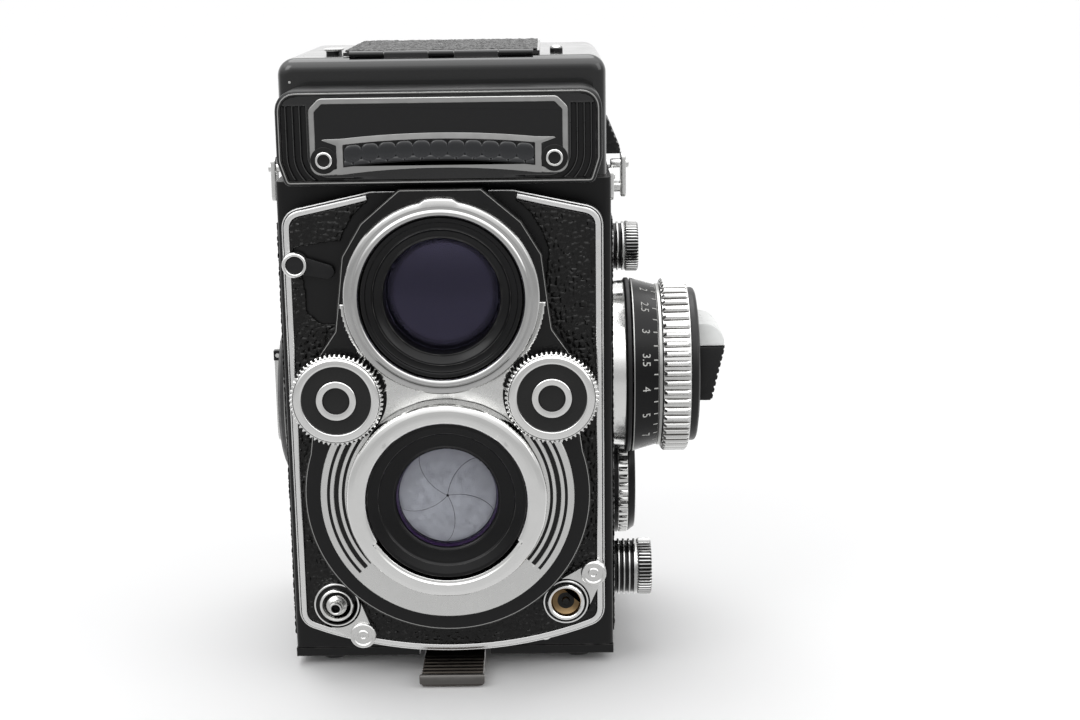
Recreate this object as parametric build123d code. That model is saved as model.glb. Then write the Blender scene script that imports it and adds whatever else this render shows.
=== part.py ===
from build123d import *
import math
import os

"""A twin lens reflex camera for roll film, built as separate pieces.

Millimetres. The camera stands on its feet with +Z up and its lenses facing -Y.
The origin is the mouth of the tripod socket, at the middle of the base.
"""

os.makedirs("parts", exist_ok=True)

# Body box
BODY_HALF = 38.5
BODY_FRONT = -33.0
BODY_REAR = 31.0
BODY_BOTTOM = 4.5
BODY_TOP = 118.0
WALL = 1.8
EDGE_RADIUS = 1.5
INNER_HALF = BODY_HALF - WALL
RUNNING_GAP = 0.05

# Lens axes, one above the other on the middle plane
VIEWING_Z = 93.8
TAKING_Z = 46.7

# Front standard, which slides on four rods when the camera is focused
PLATE_FRONT = -40.3
PLATE_BACK = -37.3
COVERING = 0.4
SKIRT_HALF = 29.5
SKIRT_BOTTOM = 32.5
SKIRT_TOP = 112.5
SKIRT_END = -26.0
SKIRT_WALL = 1.2
ROD_RADIUS = 1.5
ROD_X = 33.0
ROD_HEIGHTS = (36.0, 104.0)
HOUSING_FACE = -46.0
BEZEL_FACE = -47.5
BAYONET_FACE = -52.7
BAYONET_BORE = 18.3
BARREL_RADIUS = 18.2
TAKING_GLASS = 11.7
WHEEL_X = 24.3
WHEEL_Z = 70.6
WHEEL_RADIUS = 10.6
RELEASE_AT = (-27.1, 18.8)
FLASH_AT = (27.0, 18.9)
COLLAR_RADIUS = 4.8
BUTTON_RADIUS = 2.5
SHAFT_RADIUS = 2.0
SHUTTER_RADIUS = 24.0
CASE_REAR = -37.5
REAR_TUBE_RADIUS = 12.8
SYNC_PIVOT = (-26.2, 98.5)
SYNC_KNOB = (-33.4, 100.25)
SYNC_PIVOT_RADIUS = 1.0

# Hood
HOOD_HALF = 37.6
HOOD_FRONT = -30.0
HOOD_TOP = 145.6
HOOD_FRONT_RADIUS = 3.0
WELL_HALF = 21.0
WELL_FRONT = -25.0
WELL_REAR = 21.0
FLAP_REACH = 17.5
LID_TOP = 147.0
LID_HINGE = (-27.4, 146.3)
LID_PIN = 0.35
SIDE_FLAP_X = 20.3
SIDE_FLAP_Z = 142.0
REAR_FLAP_Y = 20.3
REAR_FLAP_Z = 140.7
RELEASE_FRONT = -4.0
RELEASE_REAR = 10.0
RELEASE_BOTTOM = 120.2
RELEASE_TOP = 129.5
MIRROR_RISE = 98.0
MIRROR_THICKNESS = 1.2

# Nameplate and light cell
CELL_HALF = 21.5
CELL_BOTTOM = 123.1
CELL_TOP = 128.3
PLATE_SCREW = (25.55, 124.1)
SCREW_RADIUS = 0.9

# Film spools, seen from the right side as (y, z)
TAKE_UP_AT = (17.5, 94.0)
SUPPLY_AT = (-15.0, 18.0)
SPOOL_HALF = 32.75
SPOOL_FLANGE = 12.5
SPOOL_PIN = 2.0
SPOOL_PIN_END = 30.4
SOCKET_END = 29.5
GATE_HALF = 28.0
GATE_FACE = 25.5

# Knobs and dials on the sides, as (y, z)
FOCUS_AT = (-8.0, 68.3)
DIAL_AT = (13.0, 34.5)
CRANK_AT = (-3.0, 61.0)
CRANK_RADIUS = 21.5
SPINDLE_RADIUS = 4.0
SLEEVE_RADIUS = 7.0
METER_HALF = 9.0
METER_CAP = 60.1
METER_FACE = 66.5
METER_BOTTOM = 61.0
METER_STEP = 74.6
METER_TOP = 82.6
CRANK_HINGE_X = -43.5

# Hinge of the back, along X
BACK_HINGE = (32.5, 119.5)
BACK_PIN = 0.7
TRIPOD_BORE = 2.6
TRIPOD_BARREL = 5.5
LATCH_HINGE = (-29.6, 3.2)


def span(x0, x1, y0, y1, z0, z1):
    """A box between two limits on each axis."""
    middle = Pos((x0 + x1) / 2, (y0 + y1) / 2, (z0 + z1) / 2)
    return middle * Box(x1 - x0, y1 - y0, z1 - z0)


def both_sides(x0, x1, y0, y1, z0, z1):
    """A box and its mirror image in the middle plane."""
    return span(x0, x1, y0, y1, z0, z1) + span(-x1, -x0, y0, y1, z0, z1)


def along_x(radius, x0, x1, at):
    """A cylinder along X; at is its (y, z)."""
    return Pos((x0 + x1) / 2, *at) * Rot(0, 90, 0) * Cylinder(radius, x1 - x0)


def along_y(radius, y0, y1, at):
    """A cylinder along Y; at is its (x, z)."""
    return Pos(at[0], (y0 + y1) / 2, at[1]) * Rot(90, 0, 0) * Cylinder(radius, y1 - y0)


def along_z(radius, z0, z1, at):
    """A cylinder along Z; at is its (x, y)."""
    return Pos(*at, (z0 + z1) / 2) * Cylinder(radius, z1 - z0)


def slab(face, y0, y1):
    """Thicken a face, drawn as (x, z), between two depths."""
    return extrude(Plane.XZ.offset(-y0) * face, amount=y1 - y0, dir=(0, 1, 0))


def side_slab(face, x0, x1):
    """Thicken a face, drawn as (y, z), between two widths."""
    return extrude(Plane.YZ.offset(x0) * face, amount=x1 - x0, dir=(1, 0, 0))


def turned_y(profile, at):
    """Turn a closed outline of (radius, y) points about an axis along Y."""
    face = Pos(at[0], 0, at[1]) * make_face(Polyline(*profile, close=True))
    return revolve(face, Axis((at[0], 0, at[1]), (0, 1, 0)), 360)


def turned_x(profile, at):
    """Turn a closed outline of (x, radius) points about an axis along X."""
    face = Pos(0, *at) * make_face(Polyline(*profile, close=True))
    return revolve(face, Axis((0, *at), (1, 0, 0)), 360)


def toothed_face(radius, depth, count):
    """A round face whose rim has evenly spaced flat-topped teeth."""
    points = []
    for tooth in range(count):
        for part, reach in ((0.0, radius), (0.45, radius), (0.6, radius - depth), (0.85, radius - depth)):
            angle = math.tau * (tooth + part) / count
            points.append((reach * math.cos(angle), reach * math.sin(angle)))
    return make_face(Polyline(*points, close=True))


def lever_face(start, end, start_radius, end_radius):
    """The outline of a flat lever with two round ends."""
    ends = [Pos(*start) * Circle(start_radius), Pos(*end) * Circle(end_radius)]
    return make_hull(ends[0].edges() + ends[1].edges())


def group(pieces):
    """Separate solids kept together in one part."""
    return Compound([solid for piece in pieces for solid in piece.solids()])


def mirrored(points):
    """Right-hand outline points followed by their mirror images, going round."""
    return list(points) + [(-x, z) for x, z in reversed(points)]


# ---------------------------------------------------------------- body


def body_shell():
    """Cast box, open to the rear and below, where the back closes it."""
    shell = span(-BODY_HALF, BODY_HALF, BODY_FRONT, BODY_REAR, BODY_BOTTOM, BODY_TOP)
    shell = fillet(shell.edges().filter_by(Axis.Z).sort_by(Axis.Y)[:2], EDGE_RADIUS)
    shell -= span(
        -INNER_HALF, INNER_HALF, BODY_FRONT + WALL, BODY_REAR + 1, BODY_BOTTOM - 1, BODY_TOP - WALL
    )
    shell -= span(-28.5, 28.5, -24, 26, BODY_TOP - 2 * WALL, BODY_TOP + 1)
    skirt_hole = SKIRT_HALF + 0.1
    shell -= span(
        -skirt_hole, skirt_hole, BODY_FRONT - 1, BODY_FRONT + 2 * WALL, SKIRT_BOTTOM - 0.1, SKIRT_TOP + 0.1
    )
    for side in (-1, 1):
        for height in ROD_HEIGHTS:
            shell += along_y(3.0, BODY_FRONT + WALL / 2, BODY_FRONT + 7, (side * ROD_X, height))
            shell -= along_y(ROD_RADIUS + 0.06, BODY_FRONT - 1, BODY_FRONT + 8, (side * ROD_X, height))
    for at in (TAKE_UP_AT, SUPPLY_AT):
        shell -= along_x(3.1, INNER_HALF - 1, BODY_HALF + 1, at)
        shell += along_x(SPOOL_PIN, -INNER_HALF - WALL / 2, -SPOOL_PIN_END, at)
    shell -= along_x(SLEEVE_RADIUS + RUNNING_GAP, INNER_HALF - 1, BODY_HALF + 1, FOCUS_AT)
    shell -= along_x(2.05, INNER_HALF - 1, BODY_HALF + 1, DIAL_AT)
    shell -= along_x(3.0 + RUNNING_GAP, -BODY_HALF - 1, -INNER_HALF + 1, CRANK_AT)
    ears = both_sides(12.2, 20, 29, BACK_HINGE[0], 117.2, BODY_TOP)
    ears += both_sides(12.2, 20, BODY_REAR + 0.1, BACK_HINGE[0], 117.2, BACK_HINGE[1])
    for x0, x1 in ((-20, -12.2), (12.2, 20)):
        ears += along_x(1.4, x0, x1, BACK_HINGE)
    return shell + ears - along_x(BACK_PIN, -30, 30, BACK_HINGE)


def side_coverings():
    """A sheet of leatherette on each side, cut round the knobs."""
    thickness = 0.3
    right = span(BODY_HALF, BODY_HALF + thickness, -31.5, 29.5, 7, 108.5)
    holes = ((FOCUS_AT, 21.7), (DIAL_AT, 16.6), (TAKE_UP_AT, 7.2), (SUPPLY_AT, 8.0))
    for at, radius in holes:
        right -= along_x(radius, BODY_HALF - 1, BODY_HALF + 1, at)
    left = span(-BODY_HALF - thickness, -BODY_HALF, -31.5, 29.5, 7, 108.5)
    left -= along_x(CRANK_RADIUS + 0.5, -BODY_HALF - 1, -BODY_HALF + 1, CRANK_AT)
    return right + left


def light_chamber():
    """Film gate, side walls, floor and roof of the dark chamber, and the mirror's bed."""
    chamber_half = 32.4
    gate = span(-36.6, 36.6, 24, GATE_FACE, 15.5, 77.5)
    gate -= span(-GATE_HALF, GATE_HALF, 20, 30, TAKING_Z - GATE_HALF, TAKING_Z + GATE_HALF)
    side = make_face(
        Polyline((-21.5, 32.0), (-21.5, 77.5), (24.2, 77.5), (24.2, 17.0), (-4.0, 31.2), close=True)
    )
    chamber = gate + side_slab(side, chamber_half - 1.2, chamber_half)
    chamber += side_slab(side, -chamber_half, 1.2 - chamber_half)
    chamber += span(-chamber_half, chamber_half, -20, 24.2, 76.5, 77.5)
    floor = trace(Polyline((-21.4, 32.2), (-4.0, 31.4), (24.2, 17.2)), 0.8)
    chamber += side_slab(floor, -chamber_half, chamber_half)
    bed_middle = Pos(0, -1.5, MIRROR_RISE - 1.5) * Rot(45, 0, 0)
    return chamber + bed_middle * Pos(0, 0, -MIRROR_THICKNESS - 0.5) * Box(62, 53, 1)


def reflex_mirror():
    """Front-silvered glass at 45 degrees behind the viewing lens."""
    outline = Polygon((-20, -25.5), (20, -25.5), (27, 25), (-27, 25), align=None)
    bed = Pos(0, -1, MIRROR_RISE - 1) * Rot(45, 0, 0)
    return bed * extrude(outline, amount=-MIRROR_THICKNESS)


def strap_lugs():
    """A hooked lug high on each side for the neck strap."""
    right = span(BODY_HALF, 39.7, -13, -3, 109.6, 117.9)
    right += span(39.7, 43.4, -10, -6, 111, 114)
    right += span(42.6, 44.2, -10, -6, 111, 121)
    return right + mirror(right, Plane.YZ)


# ---------------------------------------------------------------- hood


def hood_frame():
    """Cast frame on top of the body, with a light shaft, a screen seat and a well for the flaps."""
    frame = span(-HOOD_HALF, HOOD_HALF, HOOD_FRONT, BODY_REAR, BODY_TOP, HOOD_TOP)
    top_edges = frame.edges().filter_by(Axis.Y).sort_by(Axis.Z)[-2:]
    frame = fillet(top_edges, 4.0)
    front_face = frame.faces().sort_by(Axis.Y)[0]
    front_edges = [edge for edge in front_face.edges() if edge.center().Z > HOOD_TOP - 4]
    frame = fillet(front_edges, HOOD_FRONT_RADIUS)
    frame -= span(-28, 28, WELL_FRONT, WELL_REAR, BODY_TOP - 1, 127.1)
    frame -= span(-29.8, 29.8, -27.2, 24.2, 127, 130.1)
    frame -= span(-35.6, 35.6, -28, 29, 130, 143.6)
    frame += span(-WELL_HALF - 1.5, WELL_HALF + 1.5, WELL_FRONT - 1.5, WELL_REAR + 1.5, 139.5, 143.8)
    frame -= span(-WELL_HALF, WELL_HALF, WELL_FRONT, WELL_REAR, 139, HOOD_TOP + 1)
    frame -= both_sides(
        31.5, HOOD_HALF + 1, RELEASE_FRONT - 0.1, RELEASE_REAR + 0.1,
        RELEASE_BOTTOM - 0.1, RELEASE_TOP + 0.1,
    )
    for side in (-1, 1):
        frame -= along_y(0.3, WELL_FRONT - 0.6, WELL_REAR + 0.6, (side * SIDE_FLAP_X, SIDE_FLAP_Z))
    frame -= along_x(0.3, -WELL_HALF - 0.6, WELL_HALF + 0.6, (REAR_FLAP_Y, REAR_FLAP_Z))
    for x0 in (-13.0, 3.0):
        ear = span(x0, x0 + 10, LID_HINGE[0] - 0.7, LID_HINGE[0] + 0.7, HOOD_TOP - 0.5, LID_HINGE[1])
        frame += ear + along_x(0.7, x0, x0 + 10, LID_HINGE)
    return frame - along_x(LID_PIN, -21, 21, LID_HINGE)


def hood_lid():
    """Flat lid over the well, hinged along its front edge."""
    lid = span(-22.5, 22.5, LID_HINGE[0] + 0.8, 22.9, 145.8, 146.6)
    for x0, x1 in ((-21.0, -13.1), (-2.9, 2.9), (13.1, 21.0)):
        lid += along_x(0.7, x0, x1, LID_HINGE)
        lid += span(x0, x1, LID_HINGE[0], LID_HINGE[0] + 1, 145.9, 146.5)
    return lid - along_x(LID_PIN + RUNNING_GAP, -22, 22, LID_HINGE)


def lid_covering():
    """Leatherette panel glued on the lid."""
    panel = span(-22.2, 22.2, -26.3, 22.6, 146.6, LID_TOP)
    return fillet(panel.edges().filter_by(Axis.Z), 1.0)


def magnifier():
    """Focusing magnifier in its frame, clipped under the lid."""
    ring = along_z(10.5, 143.4, 144.8, (0, -2)) - along_z(9.0, 143, 145, (0, -2))
    ring += span(-2.5, 2.5, -18, -11.5, 144.0, 145.8)
    lens = along_z(9.0, 143.5, 144.7, (0, -2))
    return ring + span(-2.5, 2.5, 7.5, 12, 144.0, 145.8) + lens


def hood_flap(base, pivot_reach):
    """A folding side of the hood in its own frame: hinge line on X, blade towards +Y."""
    half = base / 2
    tip = half - FLAP_REACH
    blade = Polygon((-half, 0), (half, 0), (tip, FLAP_REACH), (-tip, FLAP_REACH), align=None)
    flap = extrude(blade, amount=0.25, both=True)
    flap += Rot(0, 90, 0) * Cylinder(0.5, base)
    return flap + Rot(0, 90, 0) * Cylinder(0.25, base + 2 * pivot_reach)


def hood_flap_left():
    middle = (WELL_FRONT + WELL_REAR) / 2
    return Pos(-SIDE_FLAP_X, middle, SIDE_FLAP_Z) * Rot(0, 0, -90) * hood_flap(43.6, 1.6)


def hood_flap_right():
    return mirror(hood_flap_left(), Plane.YZ)


def hood_flap_rear():
    return Pos(0, REAR_FLAP_Y, REAR_FLAP_Z) * Rot(0, 0, 180) * hood_flap(39.0, 1.9)


def hood_release():
    """Sprung wedge in the right side of the hood frame, pressed inwards to free the lid."""
    corners = [
        (33.0, RELEASE_BOTTOM), (41.8, RELEASE_BOTTOM), (41.8, RELEASE_BOTTOM + 1.4),
        (38.6, RELEASE_TOP), (33.0, RELEASE_TOP),
    ]
    return slab(make_face(Polyline(*corners, close=True)), RELEASE_FRONT, RELEASE_REAR)


def focusing_screen():
    return span(-29.6, 29.6, -27, 24, 127, 128.2)


# ---------------------------------------------------------------- nameplate and light cell


def nameplate_housing():
    """Cover above the lenses that carries the nameplate and the light cell."""
    outline = make_face(Polyline(*mirrored([(35.4, 118.2), (36.2, 123.0), (36.2, 139.5)]), close=True))
    outline = fillet(outline.vertices().sort_by(Axis.Y)[-2:], 4.5)
    housing = slab(outline, -45, HOOD_FRONT)
    housing -= slab(offset(outline, -1.5), -43.5, HOOD_FRONT + 1)
    housing -= span(-CELL_HALF, CELL_HALF, -46, -43, CELL_BOTTOM, CELL_TOP)
    for side in (-1, 1):
        housing -= along_y(SCREW_RADIUS, -46, -43, (side * PLATE_SCREW[0], PLATE_SCREW[1]))
    return housing


def nameplate():
    """Thin plate with an arched lower edge, plain because the lettering is left out."""
    edge = (
        Polyline((-28.6, 120.6), (-28.6, 137.7), (28.6, 137.7), (28.6, 120.6))
        + ThreePointArc((28.6, 120.6), (0, 122.3), (-28.6, 120.6))
    )
    plate = make_face(edge)
    plate = fillet(plate.vertices().sort_by(Axis.Y)[-2:], 3.0)
    plate = slab(plate, -45.6, -45)
    plate -= span(-CELL_HALF, CELL_HALF, -46, -44, CELL_BOTTOM, CELL_TOP)
    for side in (-1, 1):
        plate -= along_y(SCREW_RADIUS, -46, -44, (side * PLATE_SCREW[0], PLATE_SCREW[1]))
    return plate


def nameplate_screws():
    screws = []
    for side in (-1, 1):
        at = (side * PLATE_SCREW[0], PLATE_SCREW[1])
        screws.append(along_y(1.95, -46.2, -45.6, at) + along_y(SCREW_RADIUS, -45.6, -42, at))
    return screws[0] + screws[1]


def meter_cell_window():
    return span(-21.4, 21.4, -46.2, -43.6, 123.2, 128.2)


def selenium_cell():
    return span(-22, 22, -43.5, -42.7, 121.5, 129.5)


# ---------------------------------------------------------------- front standard


def plate_outline():
    """Shield shape: sloping shoulders, straight sides and a bowed lower edge."""
    right = Polyline((0, 116.4), (16, 116.4), (36.4, 112.0), (36.2, 13.4))
    left = Polyline((0, 116.4), (-16, 116.4), (-36.4, 112.0), (-36.2, 13.4))
    foot = ThreePointArc((36.2, 13.4), (0, 6.2), (-36.2, 13.4))
    face = make_face(right + left + foot)
    corners = [v for v in face.vertices() if abs(v.X) > 30]
    return fillet(corners, 4.5)


def housing_outline():
    """Figure of eight: a narrow shoulder round the viewing lens above a wide disc."""
    upper = [(9.2, 117.5), (18, 110), (22.5, 102.5), (24, 90), (24.6, 85.5), (28.4, 80), (30.5, 58)]
    return make_face(Polyline(*mirrored(upper), close=True)) + Pos(0, TAKING_Z) * Circle(33)


def front_plate():
    """Plate and light-tight skirt that carry both lenses."""
    plate = slab(plate_outline(), PLATE_FRONT, PLATE_BACK)
    skirt = span(-SKIRT_HALF, SKIRT_HALF, PLATE_BACK - 0.5, SKIRT_END, SKIRT_BOTTOM, SKIRT_TOP)
    inner = SKIRT_HALF - SKIRT_WALL
    skirt -= span(
        -inner, inner, PLATE_BACK, SKIRT_END + 1, SKIRT_BOTTOM + SKIRT_WALL, SKIRT_TOP - SKIRT_WALL
    )
    plate += skirt
    plate -= along_y(BARREL_RADIUS, -50, -30, (0, VIEWING_Z))
    plate -= along_y(SHUTTER_RADIUS, -50, -30, (0, TAKING_Z))
    plate -= along_y(BUTTON_RADIUS + RUNNING_GAP, -50, -30, RELEASE_AT)
    plate -= along_y(3.5, -50, -30, FLASH_AT)
    for side in (-1, 1):
        plate -= along_y(SHAFT_RADIUS + RUNNING_GAP, -50, -30, (side * WHEEL_X, WHEEL_Z))
        for height in ROD_HEIGHTS:
            plate -= along_y(ROD_RADIUS, -38.8, -30, (side * ROD_X, height))
    return plate - along_y(SYNC_PIVOT_RADIUS, -50, -30, SYNC_PIVOT)


def front_covering():
    """Leatherette round the lens housing."""
    face = offset(plate_outline(), -1.7) - housing_outline()
    sheet = slab(face, PLATE_FRONT - COVERING, PLATE_FRONT)
    for at in (RELEASE_AT, FLASH_AT):
        sheet -= along_y(COLLAR_RADIUS, -42, -40, at)
    sheet -= along_y(SYNC_PIVOT_RADIUS, -42, -40, SYNC_PIVOT)
    return group([sheet])


def front_trim():
    """Bright rim that runs round the front plate and stops at the lens housing."""
    face = offset(plate_outline(), -0.35) - offset(plate_outline(), -1.65) - housing_outline()
    trim = slab(face, PLATE_FRONT - 0.7, PLATE_FRONT)
    return group([trim])


def focus_rods():
    """Four rods that guide the front standard in the body."""
    rods = []
    for side in (-1, 1):
        for height in ROD_HEIGHTS:
            rods.append(along_y(ROD_RADIUS, -38.8, SKIRT_END, (side * ROD_X, height)))
    return group(rods)


def lens_housing():
    """Enamelled cover over the shutter and the viewing lens tube."""
    cover = slab(housing_outline(), HOUSING_FACE, PLATE_FRONT)
    cover -= slab(offset(housing_outline(), -1.5), HOUSING_FACE + 1.5, PLATE_FRONT + 1)
    cover -= along_y(BARREL_RADIUS, -50, -40, (0, VIEWING_Z))
    cover -= along_y(BARREL_RADIUS, -50, -40, (0, TAKING_Z))
    for side in (-1, 1):
        cover -= along_y(SHAFT_RADIUS + RUNNING_GAP, -50, -40, (side * WHEEL_X, WHEEL_Z))
    return cover


def shutter_bezel():
    """Lined bright ring round the taking lens, with a bridge up between the two wheels."""
    face = Pos(0, TAKING_Z) * Circle(29.2)
    face += Pos(0, 70.5) * Rectangle(26, 14)
    face -= Pos(0, TAKING_Z) * Circle(BARREL_RADIUS)
    face -= Pos(0, VIEWING_Z) * Circle(22.0)
    bezel = slab(face, BEZEL_FACE, HOUSING_FACE)
    for radius in (26.9, 25.1, 23.8):
        groove = Pos(0, TAKING_Z) * (Circle(radius + 0.3) - Circle(radius - 0.3))
        groove -= Pos(0, TAKING_Z - 30) * Rectangle(80, 27)
        groove -= Pos(0, TAKING_Z + 30) * Rectangle(80, 30)
        bezel -= slab(groove, BEZEL_FACE - 1, BEZEL_FACE + 0.4)
    return bezel


def bayonet(at, outer, seat):
    """Filter bayonet: a ring with three inner recesses, and a base on its seat."""
    ring = turned_y(
        [(BAYONET_BORE, seat), (BAYONET_BORE, BAYONET_FACE), (outer - 1.4, BAYONET_FACE),
         (outer, BAYONET_FACE + 1.2), (outer, seat)],
        at,
    )
    for turn in range(3):
        angle = math.radians(90 + 120 * turn)
        notch = Pos(at[0] + 18.4 * math.cos(angle), 0, at[1] + 18.4 * math.sin(angle))
        ring -= notch * Pos(0, -51.9, 0) * Rot(0, -math.degrees(angle), 0) * Box(2.4, 1.2, 10)
    return ring


def viewing_bayonet():
    return bayonet((0, VIEWING_Z), 21.9, HOUSING_FACE)


def taking_bayonet():
    return bayonet((0, TAKING_Z), 23.0, BEZEL_FACE)


def viewing_barrel():
    """Black stepped tube that holds the viewing lens."""
    return turned_y(
        [(BARREL_RADIUS, -51.6), (BARREL_RADIUS, -34.5), (12.0, -34.5), (12.0, -44.0),
         (13.0, -44.0), (13.0, -48.0), (15.4, -48.6), (15.4, -50.4), (17.2, -51.6)],
        (0, VIEWING_Z),
    )


def lens_element(at, radius, front, rear, bulge):
    """A round glass with a domed front and a flat back."""
    rim = (radius, front + bulge)
    half_way = (radius / 2, front + bulge / 4)
    flat = Polyline(rim, (radius, rear), (0, rear), (0, front))
    section = ThreePointArc((0, front), half_way, rim) + flat
    return revolve(Pos(at[0], 0, at[1]) * make_face(section), Axis((at[0], 0, at[1]), (0, 1, 0)), 360)


def viewing_glass():
    at = (0, VIEWING_Z)
    return group([lens_element(at, 13.0, -48.0, -44.0, 2.2), lens_element(at, 12.0, -40, -36, 1.0)])


def taking_glass():
    at = (0, TAKING_Z)
    return group([lens_element(at, TAKING_GLASS, -48.6, -45.2, 1.8), lens_element(at, 11.2, -41, -36, 1.0)])


def shutter_housing():
    """Lens tube and shutter case in one: a cone in front, then the blade space, then the rear tube."""
    front = turned_y(
        [(BARREL_RADIUS, -51.0), (BARREL_RADIUS, -44.5), (SHUTTER_RADIUS, -44.5), (SHUTTER_RADIUS, -43.7),
         (10.0, -43.7), (10.0, -45.2), (TAKING_GLASS, -45.2), (TAKING_GLASS, -48.4), (15.7, -49.4),
         (15.7, -50.2), (17.4, -51.0)],
        (0, TAKING_Z),
    )
    rear = turned_y(
        [(SHUTTER_RADIUS, -43.8), (SHUTTER_RADIUS, CASE_REAR), (REAR_TUBE_RADIUS, CASE_REAR),
         (REAR_TUBE_RADIUS, -34.0), (11.2, -34.0), (11.2, -41.0), (10.0, -41.0), (10.0, -42.6),
         (22.0, -42.6), (22.0, -43.8)],
        (0, TAKING_Z),
    )
    return front + rear


def shutter_blades():
    """Five thin blades, each above the last, closed over the aperture."""
    blades = []
    for index in range(5):
        outline = lever_face((15.5, 0), (3.8, 3.25), 2.0, 6.2)
        blade = slab(outline, -43.6 + 0.18 * index, -43.48 + 0.18 * index)
        blades.append(Pos(0, 0, TAKING_Z) * Rot(0, 72 * index, 0) * blade)
    return group(blades)


def control_wheel(side):
    """Knurled wheel beside the lenses, on a short shaft."""
    at = (side * WHEEL_X, WHEEL_Z)
    rim = Pos(*at) * toothed_face(WHEEL_RADIUS, 0.35, 60)
    wheel = slab(rim, -51.0, -47.8)
    wheel += turned_y([(0, -51.5), (8.4, -51.5), (10.0, -51.0), (0, -51.0)], at)
    wheel -= slab(Pos(*at) * (Circle(7.9) - Circle(4.4)), -52, -51.2)
    return wheel + along_y(SHAFT_RADIUS, -47.8, -38.0, at)


def release_collar():
    """Guard ring round the shutter release."""
    return turned_y(
        [(BUTTON_RADIUS + RUNNING_GAP, PLATE_FRONT), (COLLAR_RADIUS, PLATE_FRONT), (COLLAR_RADIUS, -43.2),
         (3.9, -43.6), (3.7, -42.2), (BUTTON_RADIUS + RUNNING_GAP, -42.2)],
        RELEASE_AT,
    )


def release_button():
    """Shutter release with a threaded bore for a cable."""
    button = along_y(1.7, -45.4, -42, RELEASE_AT) + along_y(BUTTON_RADIUS, -43.2, -39.7, RELEASE_AT)
    return button - along_y(1.1, -46, -43, RELEASE_AT)


def flash_socket():
    """Coaxial socket for a flash lead."""
    socket = turned_y(
        [(1.9, -37.4), (3.5, -37.4), (3.5, PLATE_FRONT), (COLLAR_RADIUS, PLATE_FRONT),
         (COLLAR_RADIUS, -43.2), (4.0, -43.6), (1.9, -43.0)],
        FLASH_AT,
    )
    socket += along_y(3.0, -39.0, -37.4, FLASH_AT)
    return socket + along_y(0.6, -42.0, -38.0, FLASH_AT)


def lock_lever(at, pad, pad_radius):
    """Flat lever that turns on a collar, with a round finger pad."""
    lever = slab(lever_face(at, pad, 5.6, 2.4), -42.4, -41.15)
    lever += along_y(pad_radius, -43.2, -41.15, pad)
    return lever - along_y(COLLAR_RADIUS + RUNNING_GAP, -45, -40, at)


def sync_lever():
    """Small lever with a round knob that picks the flash timing."""
    lever = slab(lever_face(SYNC_PIVOT, SYNC_KNOB, 1.6, 2.2), -42.0, -41.1)
    lever += along_y(2.9, -43.6, -41.1, SYNC_KNOB)
    return lever + along_y(SYNC_PIVOT_RADIUS - RUNNING_GAP, -42.0, -37.5, SYNC_PIVOT)


# ---------------------------------------------------------------- knobs on the right side


def focus_base_ring():
    ring = along_x(21.6, BODY_HALF, 43.6, FOCUS_AT)
    return ring - along_x(SLEEVE_RADIUS + RUNNING_GAP, BODY_HALF - 1, 44, FOCUS_AT)


def focus_scale_ring():
    """Conical scale with the hub, the sleeve through the wall and the focusing cam."""
    bore = SPINDLE_RADIUS + RUNNING_GAP
    return turned_x(
        [(34.2, bore), (34.2, 9.5), (36.4, 9.5), (36.4, SLEEVE_RADIUS), (43.7, SLEEVE_RADIUS), (43.7, 21.6),
         (50.9, 19.5), (50.9, 12.0), (57.7, 12.0), (57.7, bore)],
        FOCUS_AT,
    )


def focus_knob_grip():
    """Milled grip pressed on the hub of the scale ring."""
    grip = side_slab(Pos(*FOCUS_AT) * toothed_face(21.4, 0.9, 56), 50.9, 57.7)
    return grip - along_x(12.0, 50, 58, FOCUS_AT)


def meter_case():
    """Fixed cap, spindle and inner cup that carry the light meter in the focusing knob."""
    case = turned_x(
        [(32.6, 0), (32.6, 12), (36.7, 12), (36.7, 11), (33.6, 11), (33.6, SPINDLE_RADIUS),
         (57.8, SPINDLE_RADIUS), (57.8, 19), (59.2, 19), (METER_CAP, 18), (METER_CAP, 0)],
        FOCUS_AT,
    )
    corners = [
        (METER_CAP - 0.1, METER_BOTTOM), (METER_FACE - 3, METER_BOTTOM), (METER_FACE, METER_STEP),
        (METER_CAP - 0.1, METER_STEP),
    ]
    wedge = make_face(Polyline(*corners, close=True))
    return case + slab(wedge, FOCUS_AT[0] - METER_HALF, FOCUS_AT[0] + METER_HALF)


def meter_window():
    """Translucent cover above the meter."""
    front, rear = FOCUS_AT[0] - METER_HALF, FOCUS_AT[0] + METER_HALF
    window = span(METER_CAP, METER_FACE, front, rear, METER_STEP, METER_TOP)
    outer_edges = window.edges().filter_by(Axis.Y).sort_by(Axis.X)[-2:]
    return fillet(outer_edges.sort_by(Axis.Z)[-1], 4.5)


def film_dial():
    """Ribbed reminder dial on a short shaft."""
    dial = side_slab(Pos(*DIAL_AT) * toothed_face(16.2, 0.6, 49), 41.3, 43.6)
    dial += along_x(15.9, 38.7, 41.3, DIAL_AT)
    dial += turned_x([(43.6, 0), (43.6, 15.9), (45.5, 14.6), (45.5, 0)], DIAL_AT)
    return dial + along_x(2.0, 35.2, 38.7, DIAL_AT) + along_x(4.0, 35.2, 36.4, DIAL_AT)


def spool_knob(at, collar_radius, head_radius, collar_end, head_end):
    """Spring-loaded knob whose pin holds one end of a film spool."""
    knob = along_x(collar_radius, 38.9, collar_end, at)
    knob += side_slab(Pos(*at) * toothed_face(head_radius, 0.4, 30), collar_end, head_end)
    knob += along_x(3.0, 33.2, 38.9, at)
    return knob + along_x(SPOOL_PIN, SPOOL_PIN_END, 33.2, at)


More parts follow.
